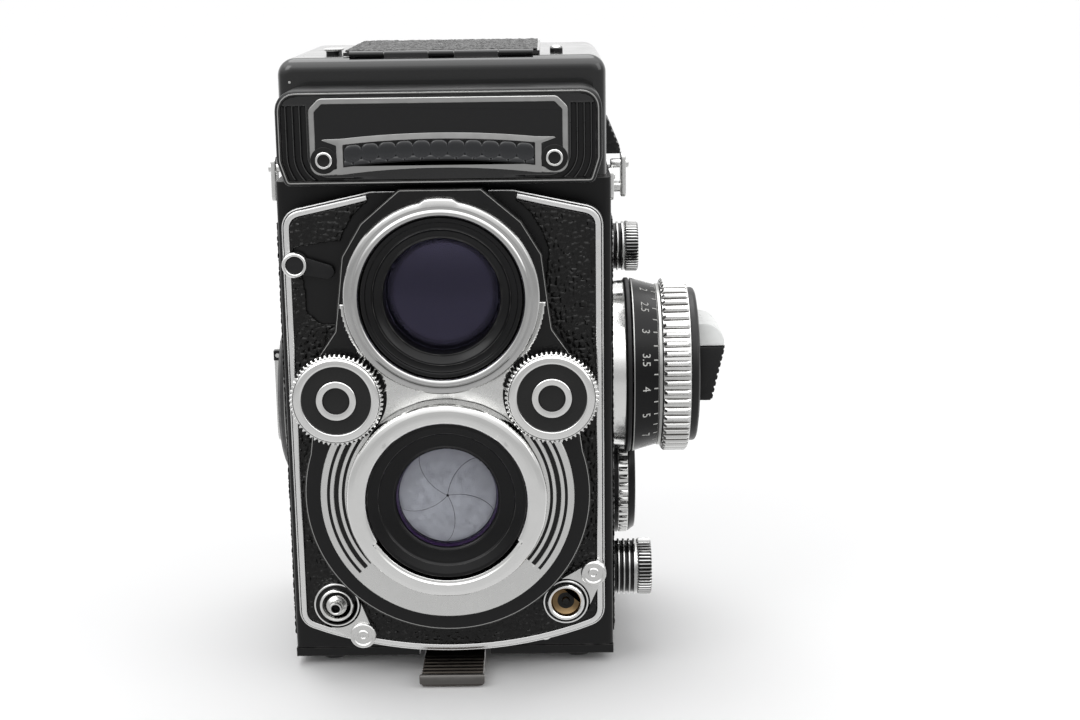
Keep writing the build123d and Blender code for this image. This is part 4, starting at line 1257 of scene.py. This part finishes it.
def nameplate_cover():
    """Black cover with a bright lip round its face."""
    low, high = limits("nameplate_housing")
    face, shoulder = low[1], 1.0
    outline = cover_path()
    loops = [facing(outline, high[1]), facing(outline, face + shoulder)]
    for step in (1, 2, 3):
        angle = math.pi / 2 * step / 3
        path = inset(outline, shoulder * (1 - math.cos(angle)))
        loops.append(facing(path, face + shoulder * (1 - math.sin(angle))))
    loops.append(facing(inset(outline, 1.25), face + 0.05))
    loops.append(facing(inset(outline, 1.4), face + 0.8))
    mesh = bridge(loops, caps=(False, True))
    stand_in(mesh, "nameplate_cover", [ENAMEL], "body", "nameplate_housing")
    nameplate_flutes(inset(outline, 1.3), low, high)
    mesh = swept(inset(outline, 0.8), half_round(0.34, 0.14), closed=True, y=face + 0.1)
    add_to(mesh, "nameplate_cover_lip", [SILVER_LINE], "body", "nameplate_housing")


def nameplate_flutes(edge, low, high):
    """Flutes that follow the plate's sides and lower corners, with grey ridges between them."""
    face = low[1]
    flutes, pitch, first, step = 4, 1.55, 0.5, 0.18
    bend_x = PLATE_HIGH[0] - PLATE_CORNER
    bend_z = window_bottom(PLATE_FOOT_REACH) - 1.5 + PLATE_CORNER
    x = np.arange(-36, 36.1, step)
    z = np.arange(low[2], high[2] + 0.1, step)
    grid_x, grid_z = np.meshgrid(x, z, indexing="ij")
    across = np.maximum(np.abs(grid_x) - bend_x, 0)
    below = np.maximum(bend_z - grid_z, 0)
    off = np.hypot(across, below) - PLATE_CORNER
    phase = np.mod(off - first, pitch) / pitch
    flute = np.clip(1.15 - 1.15 * np.abs(2 * phase - 1) ** 3, 0, 1)
    runs = (off > first) & (off < first + flutes * pitch)
    top_end = np.clip((high[2] - 3.2 - grid_z) / 0.7, 0, 1)
    foot_end = np.clip((np.abs(grid_x) - 14) / 9, 0, 1)
    depth = face + 0.12 + 0.85 * flute * runs * top_end * foot_end
    mesh = open_sheet(np.stack([grid_x, depth, grid_z], axis=-1), inside(edge, grid_x, grid_z))
    add_to(mesh, "nameplate_flutes", [HOOD_ENAMEL], "body", "nameplate_housing", sheet=True)

    arc = np.radians(np.linspace(0, -90, 24))
    section = half_round(0.26, 0.12)
    parts = []
    for index in range(flutes):
        radius = PLATE_CORNER + first + index * pitch
        bend = [(bend_x + radius * math.cos(a), bend_z + radius * math.sin(a)) for a in arc]
        ridge = np.array([(bend_x + radius, high[2] - 3.4)] + bend + [(19.0, bend_z - radius)])
        ridge = resample(ridge, 0.5, closed=False)
        ridge = ridge[inside(edge, ridge[:, 0], ridge[:, 1])]
        parts.append(swept(ridge, section, y=face + 0.14))
        parts.append(swept((ridge * np.array([-1, 1]))[::-1], section, y=face + 0.14))
    add_to(join_meshes(parts), "nameplate_ridges", [RIDGE_GREY], "body", "nameplate_housing")


def nameplate():
    """Satin border round a black field, with the frame of the cell window. Lettering is left out."""
    face = face_of("nameplate")
    outline = resample(nameplate_path(), 0.35)
    width = 1.25
    border = [
        facing(outline, face + 0.6),
        facing(outline, face + 0.12),
        facing(inset(outline, 0.12), face),
        facing(inset(outline, width - 0.1), face),
        facing(inset(outline, width), face + 0.12),
    ]
    field = [facing(inset(outline, width + step), face + 0.13) for step in (0.0, 0.3, 0.5)]
    reach, tip = WINDOW_REACH, 25.9
    side = reach + 1.3
    left = [
        (-tip, window_top(reach) + 0.95),
        (-side, window_top(reach) - 0.2),
        (-side, window_bottom(side) - 1.5),
    ]
    right = [(-x, z) for x, z in reversed(left)]
    lower = [(x, window_bottom(x) - 1.6) for x in np.linspace(-reach, reach, 25)]
    upper = [(x, window_top(x) + 1.3) for x in np.linspace(reach, -reach, 25)]
    shoulder = window_top(reach) + 1.2
    window = left + lower + right + [(tip - 0.4, shoulder)] + upper + [(0.4 - tip, shoulder)]
    mesh = join_meshes([
        bridge(border, caps=(False, False)),
        bridge(field, caps=(False, True), mark=1),
        slab(window, face - 0.02, face + 0.4, 0.08, 0.3),
    ])
    stand_in(mesh, "nameplate_blank", [PLATE_GREY, PLATE_BLACK], "body", "nameplate")


def cell_window():
    """Arched honeycomb window: a row of glass domes, with the tops of a second row below it."""
    face = face_of("nameplate")
    reach = WINDOW_HIGH[0] - 0.1
    lower = [(x, window_bottom(x)) for x in np.linspace(-reach, reach, 25)]
    upper = [(x, window_top(x)) for x in np.linspace(reach, -reach, 25)]
    outline = resample(np.array(lower + upper), 0.35)
    rim = [
        facing(outline, face + 0.5),
        facing(outline, face - 0.1),
        facing(inset(outline, 0.12), face - 0.12),
        facing(inset(outline, 0.3), face - 0.1),
        facing(inset(outline, 0.32), face - 0.04),
    ]
    mesh = bridge(rim, caps=(False, True))
    stand_in(mesh, "cell_window_rim", [GLOSS_ENAMEL], "body", "meter_cell_window")

    domes = 11
    start = 0.3 - reach
    pitch = -2 * start / domes
    dome_radius = 0.52 * pitch
    grid_x, share = np.meshgrid(np.arange(start, -start, 0.1), np.linspace(0, 1, 48), indexing="ij")
    bottom = window_bottom(grid_x) + 0.32
    tall = window_top(grid_x) - 0.32 - bottom
    rise = share * tall
    height = np.zeros(grid_x.shape)
    for row_middle, shift in ((tall - pitch * 0.5, 0.0), (tall - pitch * 1.38, 0.5)):
        for number in range(-1, domes + 1):
            across = np.abs(grid_x - (start + pitch * (number + 0.5 + shift))) / dome_radius
            up = np.abs(rise - row_middle) / dome_radius
            height = np.maximum(height, np.clip(1 - (across**2.6 + up**2.6), 0, 1) ** 0.45)
    points = np.stack([grid_x, face - 0.42 * height, bottom + rise], axis=-1)
    mesh = open_sheet(points, np.ones(grid_x.shape, bool))
    add_to(mesh, "cell_window_domes", [CELL_GLASS], "body", "meter_cell_window", sheet=True)


def nameplate_screws():
    """Two screws with bright rims and black centres, each in a round black seat."""
    low, high = limits("nameplate_screws")
    face = low[1]
    place = (high[0] - 1.95, (low[2] + high[2]) / 2)
    profile = [
        (3.0, face + 0.85), (3.0, face + 0.6), (2.85, face + 0.5), (2.05, face + 0.5), (1.9, face + 0.45),
        (1.9, face + 0.15), (1.75, face), (1.4, face + 0.02), (1.3, face + 0.2), (0.05, face + 0.25),
    ]
    profile_marks = [1, 1, 1, 1, 0, 0, 0, 1, 1]
    for side, name in ((-1, "nameplate_screw_left"), (1, "nameplate_screw_right")):
        mesh = turned(profile, (side * place[0], place[1]), segments=64, edge=0.06, marks=profile_marks)
        stand_in(mesh, name, [BRIGHT_CHROME, BLACK_PAINT_AND_SEAM_SHADE], "body", "nameplate_screws")


# ---------------------------------------------------------------- right side


def figure_mesh(text, size):
    """A figure as flat triangles: its points in its own plane, and its faces."""
    curve = bpy.data.curves.new("figure", "FONT")
    curve.body = text
    curve.size = size
    curve.align_x = "CENTER"
    curve.align_y = "CENTER"
    curve.resolution_u = 3
    holder = bpy.data.objects.new("figure", curve)
    bpy.context.scene.collection.objects.link(holder)
    bpy.context.view_layer.update()
    mesh = bpy.data.meshes.new_from_object(holder.evaluated_get(bpy.context.evaluated_depsgraph_get()))
    points = np.array([v.co[:2] for v in mesh.vertices])
    faces = [tuple(p.vertices) for p in mesh.polygons]
    bpy.data.objects.remove(holder)
    bpy.data.curves.remove(curve)
    bpy.data.meshes.remove(mesh)
    return points, faces


def figures_on_cone(entries, at, radius_at, x_middle, size, lift=0.05):
    """Figures standing round a cone about X; entries are (text, angle in degrees)."""
    parts = []
    for text, degrees in entries:
        flat, faces = figure_mesh(text, size)
        x = x_middle + flat[:, 1]
        angle = math.radians(degrees) + flat[:, 0] / radius_at(x_middle)
        radius = radius_at(x) + lift
        points = around("x", at, radius * np.cos(angle), radius * np.sin(angle), x)
        parts.append((points, faces, [0] * len(faces)))
    return join_meshes(parts)


def ticks_on_cone(angles, at, radius_at, start, end, width=0.28, lift=0.05):
    """Short lines across a cone about X."""
    half = width / 2 / radius_at(start)
    parts = []
    for degrees in angles:
        corners = []
        for x, turn in ((start, -half), (start, half), (end, half), (end, -half)):
            angle = math.radians(degrees) + turn
            radius = radius_at(x) + lift
            corners.append((x, at[0] + radius * math.cos(angle), at[1] + radius * math.sin(angle)))
        parts.append((np.array(corners), [(0, 1, 2, 3)], [0]))
    return join_meshes(parts)


def focusing_knob():
    """Base ring, conical distance scale with figures, and the milled grip."""
    low, high = limits("focus_base_ring")
    base = [
        (10.0, high[0] - 0.05), (21.3, high[0] - 0.05), (21.6, high[0] - 0.35), (21.6, high[0] - 1.1),
        (21.3, high[0] - 1.35), (21.05, high[0] - 1.5), (21.0, high[0] - 1.8), (20.7, low[0] + 0.5),
        (20.9, low[0] + 0.2), (20.9, low[0]),
    ]
    mesh = turned(base, FOCUS, "x", 192, 0.1, marks=[1, 1, 1, 1, 2, 0, 0, 0, 1])
    stand_in(mesh, "focus_base_bright_ring", [BRIGHT_CHROME, ANODISED, BLACK_PAINT_AND_SEAM_SHADE], "body", "focus_base_ring")

    cone_start, cone_end = high[0] + 0.1, limits("focus_knob_grip")[0][0]

    def radius_at(x):
        return 21.6 - 2.1 * (x - cone_start) / (cone_end - cone_start)

    lip = radius_at(cone_end - 0.9) + 0.25
    cone = [
        (7.2, cone_start + 0.15), (20.9, cone_start + 0.1), (21.5, cone_start + 0.2),
        (21.45, cone_start + 0.45), (radius_at(cone_end - 1.1), cone_end - 1.1), (lip, cone_end - 0.8),
        (lip, cone_end - 0.1), (12.0, cone_end + 0.05),
    ]
    # Painted shade: the lip at the grip end is grey steel, darkened where shade falls between the cone and
    # the grip.
    mesh = turned(cone, FOCUS, "x", 192, 0.1, marks=[0, 1, 1, 0, 1, 1, 1])
    stand_in(mesh, "focus_scale_cone", [GLOSS_ENAMEL, STEEL_AND_LIP_SHADE], "focus_knob", "focus_scale_ring")

    distances = ("20", "10", "7", "5", "4", "3.5", "3", "2.5", "2", "1.7", "1.5", "1.3", "1.2", "1.1", "1")
    first, spacing = 262, 19.5
    entries = [(text, first - spacing * i) for i, text in enumerate(distances)]
    figures = figures_on_cone(entries, FOCUS, radius_at, cone_start + 3.1, 2.7)
    angles = [first - spacing / 2 * i for i in range(2 * len(distances) - 1)]
    strokes = ticks_on_cone(angles, FOCUS, radius_at, cone_start + 5.0, cone_start + 6.0)
    mesh = join_meshes([figures, strokes])
    add_to(mesh, "focus_scale_figures", [WHITE_PAINT], "focus_knob", "focus_scale_ring")

    low, high = limits("focus_knob_grip")
    # Painted shade: the grip's grooves take the dark steel, darker than its lands.
    band = ribbed_band(FOCUS, 21.4, 1.0, 56, (low[0] + 0.1, high[0] - 0.1), "x", per_tooth=12, groove_mark=1)
    core = [
        (12.0, low[0] + 0.15), (20.5, low[0] + 0.15), (20.6, high[0] - 0.15), (19.6, high[0]),
        (12.0, high[0]),
    ]
    mesh = join_meshes([band, turned(core, FOCUS, "x", 160, 0.08)])
    stand_in(mesh, "focus_knob_milled_grip", [CHROME, DARK_STEEL_AND_GROOVE_SHADE], "focus_knob", "focus_knob_grip")


def light_meter():
    """Black cap of the focusing knob with concentric steps, its ribbed wedge and the milky window."""
    window_low, window_high = limits("meter_window")
    cap_face, seam = window_low[0], window_low[2]
    reach, front, rear = window_high[0], window_low[1], window_high[1]
    bottom = seam - 13.6
    cap = [
        (12.0, cap_face - 2.3), (19.0, cap_face - 2.3), (19.0, cap_face - 1.2), (18.8, cap_face - 0.7),
        (18.2, cap_face - 0.35), (17.9, cap_face - 0.55), (17.6, cap_face - 0.3), (16.4, cap_face - 0.1),
        (0.05, cap_face),
    ]
    disc = turned(cap, FOCUS, "x", 160, 0.1)
    back = cap_face - 0.8
    section = [(back, bottom), (reach - 3.4, bottom)]
    section += ribs_along((reach - 3.3, bottom + 0.3), (reach - 0.3, seam - 0.5), 8, 0.35)
    section += [(reach, seam - 0.4), (reach, seam - 0.1), (back, seam - 0.1)]
    mesh = join_meshes([disc, straight_bar(section, front, rear, 0.4)])
    stand_in(mesh, "meter_case_black", [BLACK_PLASTIC], "body", "meter_case")
    round_top, top = 5.4, window_high[2] - 2.3
    section = [(back, seam), (reach, seam)]
    for angle in np.linspace(0, math.pi / 2, 12):
        section.append((reach - round_top * (1 - math.cos(angle)), top - round_top * (1 - math.sin(angle))))
    mesh = straight_bar(section + [(back, top)], front, rear, 0.6)
    stand_in(mesh, "meter_milky_window", [WHITE_PLASTIC], "body", "meter_window")


def film_reminder():
    """Dial with a black base, bright ribs and a stepped black face."""
    ribs = ribbed_band(DIAL, 16.2, 0.8, 49, (41.2, 43.6), "x", land=-0.6, groove_mark=1)
    core = [
        (14.0, 38.9), (15.7, 38.9), (15.9, 39.3), (15.9, 41.0), (15.5, 41.2), (15.5, 43.6), (15.6, 43.8),
        (14.9, 44.7), (14.5, 45.3), (13.9, 45.5), (11.5, 45.5), (11.2, 45.3), (10.6, 45.3), (10.3, 45.5),
        (4.4, 45.5), (4.0, 45.2), (3.4, 45.2), (3.1, 45.45), (0.05, 45.45),
    ]
    core_marks = [1, 1, 1, 1, 0, 1, 1, 1, 1, 1, 0, 0, 0, 1, 1, 0, 0, 0]
    mesh = join_meshes([ribs, turned(core, DIAL, "x", 160, 0.08, marks=core_marks)])
    stand_in(mesh, "film_reminder_dial", [BRIGHT_CHROME, GLOSS_ENAMEL], "film_dial", "film_dial")


def spool_knobs():
    """Ribbed spool knobs, each on a ringed black collar, with the pin that enters the spool."""
    for node, at, name in (
        ("upper_spool_knob", UPPER_KNOB, "upper_ribbed_knob"),
        ("lower_spool_knob", LOWER_KNOB, "lower_ribbed_knob"),
    ):
        low, high = limits(node)
        radius = (high[2] - low[2]) / 2
        head, start = high[0] + 0.02, high[0] - 3.7
        band = ribbed_band(at, radius + 0.1, 0.45, 48, (start + 0.1, head - 0.1), "x", groove_mark=1)
        collar = [
            (2.0, low[0]), (2.0, 33.2), (3.0, 33.3), (3.0, 38.9), (radius + 0.1, 38.95),
            (radius + 0.1, COLLAR_START),
        ]
        collar_marks = [0, 0, 0, 0, 0]
        x = COLLAR_START
        while x < start - 1.0:
            collar += [(radius - 0.5, x + 0.1), (radius - 0.5, x + 0.8)]
            collar += [(radius, x + 0.9), (radius, x + COLLAR_PITCH)]
            collar_marks += [1, 1, 1, 0]
            x += COLLAR_PITCH
        cap = [
            (radius - 0.4, start + 0.2), (radius - 0.7, head - 0.5), (radius - 1.4, head - 0.05),
            (radius - 2.6, head), (radius - 2.9, head - 0.5), (0.05, head - 0.55),
        ]
        core = turned(collar + cap, at, "x", 96, 0.08, marks=collar_marks + [0, 0, 0, 0, 1, 1])
        stand_in(join_meshes([band, core]), name, [GREY_CHROME, GLOSS_ENAMEL], node, node)


def side_plate(side, start, end, back, front, bottom, top, radius, narrowing=0.0):
    """A rounded upright plate beside the body, from start to end in X; narrowing draws its top in."""
    corners = [(front, bottom), (back, bottom), (back - narrowing, top), (front + narrowing, top)]
    outline = resample(round_path(corners, radius), 0.4)
    loops = []
    for x, shrink in (
        (start, 0.25), (start + 0.15, 0.05), (start + 0.3, 0.0),
        (end - 0.3, 0.0), (end - 0.15, 0.05), (end, 0.25),
    ):
        path = inset(outline, shrink)
        loops.append(around("x", (0, 0), path[:, 0], path[:, 1], np.full(len(path), side * x)))
    return bridge(loops)


def strap_lug_hooks():
    """Bright bracket on each side: a screwed block, an outer plate and the clip that joins their tops."""
    low, high = limits("strap_lugs")
    floor, top = low[2], high[2]
    for side, name in ((-1, "strap_lug_left"), (1, "strap_lug_right")):
        parts = [
            side_plate(side, 38.45, 39.9, -3.2, -12.8, floor + 0.2, 117.7, 1.6),
            side_plate(side, 41.6, 42.9, -5.4, -10.6, floor + 0.8, top, 1.2, narrowing=0.4),
            side_plate(side, 39.4, 42.0, -6.0, -10.0, floor + 2.0, floor + 4.4, 0.8),
            side_plate(side, 39.2, 43.6, -6.2, -9.8, top - 3.6, top - 1.6, 0.8),
        ]
        screw = [(0.9, side * 39.8), (0.9, side * 40.1), (0.6, side * 40.2), (0.05, side * 40.2)]
        for y in (-11.5, -4.5):
            parts.append(turned(screw, (y, 115.8), "x", 32, 0.05))
        stand_in(join_meshes(parts), name, [CHROME], "body", "strap_lugs")


def hood_release_wedges():
    """Ribbed black wedge on each side of the hood, leaning inwards towards its top."""
    for node, side, name in (
        ("hood_release_right", 1, "ribbed_wedge_right"),
        ("hood_release_left", -1, "ribbed_wedge_left"),
    ):
        low, high = limits(node)
        reach = high[0] if side > 0 else -low[0]
        bottom, top = low[2], high[2]
        section = [(33.0, bottom), (reach, bottom), (reach, bottom + 1.2)]
        section += ribs_along((reach - 0.3, bottom + 1.5), (reach - 3.3, top - 0.6), 5, 0.3)
        section += [(reach - 3.4, top), (33.0, top)]
        mesh = straight_bar(section, low[1], high[1], 0.45, side=side)
        stand_in(mesh, name, [BLACK_PLASTIC], node, node)


# ---------------------------------------------------------------- left side


def winding_crank():
    """Glossy black disc with a wide rounded shoulder and a thin bright line, behind the folded arm."""
    low, high = limits("crank_hub")
    radius = (high[2] - low[2]) / 2
    disc = [
        (8.0, -38.75), (radius, -38.75), (radius, -39.7), (radius - 0.25, -40.0), (radius - 0.5, -40.25),
        (radius - 1.8, -41.3), (radius - 3.4, -42.0), (radius - 4.4, -42.2), (radius - 4.6, -42.1),
        (radius - 4.9, -42.1), (radius - 5.1, -42.22), (0.05, -42.22),
    ]
    mesh = turned(disc, CRANK, "x", 192, 0.1, marks=[0, 0, 0, 1, 0, 0, 0, 0, 1, 0, 0])
    add_to(mesh, "crank_disc_shell", [ANODISED, SILVER_LINE], "crank_hub", "crank_hub")


# ---------------------------------------------------------------- underside and back


def latch_tongue():
    """Dark ribbed tongue of the latch, with a lighter rounded front lip."""
    front = face_of("back_latch")
    section = [
        (-29.8, 0.85), (front + 1.3, 0.85), (front + 0.9, 0.45), (front + 0.35, 0.4), (front, 0.9),
        (front, 2.6), (front + 0.35, 3.1), (front + 0.9, 3.15), (front + 1.3, 2.75),
    ]
    for index in range(6):
        y = front + 2.4 + 2.0 * index
        section += [(y, 2.75), (y + 0.3, 3.0), (y + 0.8, 3.0), (y + 1.1, 2.75)]
    section += [(-31.0, 2.75), (-29.8, 2.75)]
    mesh = straight_bar(section, -7.3, 7.3, 0.4, "x")
    stand_in(mesh, "latch_tongue", [LATCH_BROWN], "back_latch", "back_latch")
    lip = [
        (front - 0.1, 0.95), (front - 0.12, 2.55), (front + 0.25, 3.1), (front + 0.8, 3.2),
        (front + 0.8, 0.8),
    ]
    mesh = straight_bar(lip, -7.7, 7.7, 0.35, "x")
    add_to(mesh, "latch_front_lip", [DARK_STEEL_AND_GROOVE_SHADE], "back_latch", "back_latch")


def front_pin():
    """Crescent of a bright pin in the body's front, below the plate's right foot."""
    pin = [(1.7, -32.6), (1.7, -33.1), (1.45, -33.2), (0.9, -33.2), (0.7, -33.1), (0.05, -33.1)]
    mesh = turned(pin, (22.0, 7.4), segments=48, edge=0.06, marks=[0, 0, 0, 1, 1])
    add_to(mesh, "front_crescent_pin", [BRIGHT_CHROME, BLACK_PAINT_AND_SEAM_SHADE], "body", "body_shell")


# ---------------------------------------------------------------- carried CAD nodes


CAD_FINISHES = {
    "body_shell": ENAMEL,
    "light_chamber": MATT_BLACK,
    "reflex_mirror": SILVERED,
    "hood_frame": HOOD_ENAMEL,
    "hinge_pins": STEEL_AND_LIP_SHADE,
    "focusing_screen": CLEAR,
    "hood_lid": HOOD_ENAMEL,
    "magnifier": ANODISED,
    "hood_flap_left": MATT_BLACK,
    "hood_flap_right": MATT_BLACK,
    "hood_flap_rear": MATT_BLACK,
    "front_plate": ENAMEL,
    "lens_housing": ENAMEL,
    "shutter_housing": GLOSS_ENAMEL,
    "viewing_glass": CLEAR,
    "taking_glass": CLEAR,
    "selenium_cell": DARK_STEEL_AND_GROOVE_SHADE,
    "upper_spool_knob": STEEL_AND_LIP_SHADE,
    "lower_spool_knob": STEEL_AND_LIP_SHADE,
    "take_up_spool": BLACK_PLASTIC,
    "supply_spool": BLACK_PLASTIC,
    "crank_hub": ANODISED,
    "crank_arm": CHROME,
    "back_cover": ENAMEL,
    "pressure_plate": MATT_BLACK,
    "feet": BLACK_PLASTIC,
    "tripod_socket": CHROME,
    "back_latch": DARK_STEEL_AND_GROOVE_SHADE,
}


def dress_cad_nodes():
    """Put each finish in all the material slots of its CAD node."""
    for node, material in CAD_FINISHES.items():
        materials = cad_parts[node].data.materials
        if not materials:
            materials.append(material)
        for index in range(len(materials)):
            materials[index] = material


# ---------------------------------------------------------------- stage, light and camera

AIM = Vector((0, 0, 0.075))
WORLD_LIGHT = 0.74
WALL_LIGHT = 1.05
REFLECTED = (
    (0.0, 0.65), (0.36, 0.58), (0.45, 0.47), (0.52, 0.48),
    (0.60, 0.66), (0.72, 1.15), (0.85, 2.2), (1.0, 2.7),
)


def studio_floor():
    """One pale sheet under and far behind the camera, left out of reflections."""
    reach = 20.0
    corners = [(-reach, -reach, 0), (reach, -reach, 0), (reach, reach, 0), (-reach, reach, 0)]
    mesh = bpy.data.meshes.new("floor")
    mesh.from_pydata(corners, [], [(0, 1, 2, 3)])
    finish = Finish("pale_floor", (0.93, 0.93, 0.93), 0.8)
    finish.color(finish.noise(60, 2), (0.925, 0.925, 0.93), (0.935, 0.935, 0.935))
    finish.specular(0.0)
    mesh.materials.append(finish.material)
    floor = bpy.data.objects.new("floor", mesh)
    floor.location.z = -0.00002
    floor.visible_glossy = False
    bpy.context.scene.collection.objects.link(floor)


def studio_world():
    """White surroundings; shiny faces see a bright ceiling and rear wall, and a dimmer room in front."""
    world = bpy.data.worlds.new("studio")
    bpy.context.scene.world = world
    world.use_nodes = True
    nodes, links = world.node_tree.nodes, world.node_tree.links

    def node(kind, **settings):
        made = nodes.new(kind)
        for key, value in settings.items():
            setattr(made, key, value)
        return made

    def light(strength):
        made = node("ShaderNodeBackground")
        made.inputs["Color"].default_value = (1, 1, 1, 1)
        made.inputs["Strength"].default_value = strength
        return made

    def mixed(fraction, first, second):
        made = node("ShaderNodeMixShader")
        links.new(fraction, made.inputs[0])
        links.new(first, made.inputs[1])
        links.new(second, made.inputs[2])
        return made.outputs["Shader"]

    nodes.remove(nodes["Background"])
    place = node("ShaderNodeTexCoord")
    split = node("ShaderNodeSeparateXYZ")
    links.new(place.outputs["Generated"], split.inputs["Vector"])
    height = node("ShaderNodeValToRGB")
    height.color_ramp.interpolation = "EASE"
    ramp = height.color_ramp.elements
    while len(ramp) < len(REFLECTED):
        ramp.new(0.5)
    brightest = max(brightness for level, brightness in REFLECTED)
    for element, (level, brightness) in zip(ramp, REFLECTED):
        share = brightness / brightest
        element.position = level
        element.color = (share, share, share, 1)
    lift = node("ShaderNodeMapRange")
    lift.inputs["From Min"].default_value = -1
    links.new(split.outputs["Z"], lift.inputs["Value"])
    links.new(lift.outputs["Result"], height.inputs["Fac"])
    scale = node("ShaderNodeMath", operation="MULTIPLY")
    scale.inputs[1].default_value = brightest
    links.new(height.outputs["Color"], scale.inputs[0])
    room = light(1.0)
    links.new(scale.outputs["Value"], room.inputs["Strength"])
    behind = node("ShaderNodeMapRange", interpolation_type="SMOOTHSTEP")
    behind.inputs["From Min"].default_value = 0.1
    behind.inputs["From Max"].default_value = 0.7
    links.new(split.outputs["Y"], behind.inputs["Value"])
    path = node("ShaderNodeLightPath")
    wall = light(WALL_LIGHT)
    reflected = mixed(behind.outputs["Result"], room.outputs["Background"], wall.outputs["Background"])
    unseen = mixed(path.outputs["Is Glossy Ray"], light(WORLD_LIGHT).outputs["Background"], reflected)
    seen = mixed(path.outputs["Is Camera Ray"], unseen, light(1.0).outputs["Background"])
    links.new(seen, nodes["World Output"].inputs["Surface"])


def soft_box(name, place, size, power):
    """A square area light aimed at the middle of the camera."""
    light = bpy.data.lights.new(name, "AREA")
    light.shape = "RECTANGLE"
    light.size, light.size_y = size
    light.energy = power
    holder = bpy.data.objects.new(name, light)
    holder.location = place
    towards = AIM - Vector(place)
    holder.rotation_euler = towards.to_track_quat("-Z", "Y").to_euler()
    bpy.context.scene.collection.objects.link(holder)


def ceiling_light(power, spread):
    """Broad light from above and slightly behind, so that the shadow lies softly in front."""
    light = bpy.data.lights.new("ceiling_light", "SUN")
    light.energy = power
    light.angle = math.radians(spread)
    holder = bpy.data.objects.new("ceiling_light", light)
    towards = Vector((0.05, -0.42, -1.0))
    holder.rotation_euler = towards.to_track_quat("-Z", "Y").to_euler()
    bpy.context.scene.collection.objects.link(holder)


def studio_camera():
    """The viewing angle of the original picture: just left of centre, looking down a little."""
    place = (0.02394, -0.44047, 0.16801)
    yaw, pitch, roll = -0.00566, 0.22360, -0.01417
    ahead = Vector((math.sin(yaw) * math.cos(pitch), math.cos(yaw) * math.cos(pitch), -math.sin(pitch)))
    level = Vector((math.cos(yaw), -math.sin(yaw), 0))
    above = level.cross(ahead)
    right = math.cos(roll) * level + math.sin(roll) * above
    up = math.cos(roll) * above - math.sin(roll) * level
    data = bpy.data.cameras.new("camera")
    data.lens = 59.49
    data.sensor_width = 36
    data.clip_start = 0.01
    data.clip_end = 100
    camera = bpy.data.objects.new("camera", data)
    turn = Matrix((right, up, -ahead)).transposed()
    camera.matrix_world = Matrix.Translation(place) @ turn.to_4x4()
    bpy.context.scene.collection.objects.link(camera)
    bpy.context.scene.camera = camera


# ---------------------------------------------------------------- build


dress_cad_nodes()
front_leather()
side_leather()
back_leather()
lid_leather()
lid_catches()
hood_dot()
front_rim()
housing_edge_line()
shutter_bezel()
bridge_plate()
viewing_bayonet()
taking_bayonet()
lens_barrels()
lens_glasses()
shutter_leaves()
control_wheels()
release_and_flash()
timing_lever()
nameplate_cover()
nameplate()
cell_window()
nameplate_screws()
focusing_knob()
light_meter()
film_reminder()
spool_knobs()
strap_lug_hooks()
hood_release_wedges()
winding_crank()
latch_tongue()
front_pin()

studio_floor()
studio_world()
soft_box("key_light", (-0.60, -0.60, 0.80), (0.5, 0.5), 1.6)
soft_box("fill_light", (0.80, -0.35, 0.50), (0.5, 0.5), 0.9)
ceiling_light(1.15, 50)
studio_camera()
bpy.context.scene.view_settings.view_transform = "Standard"
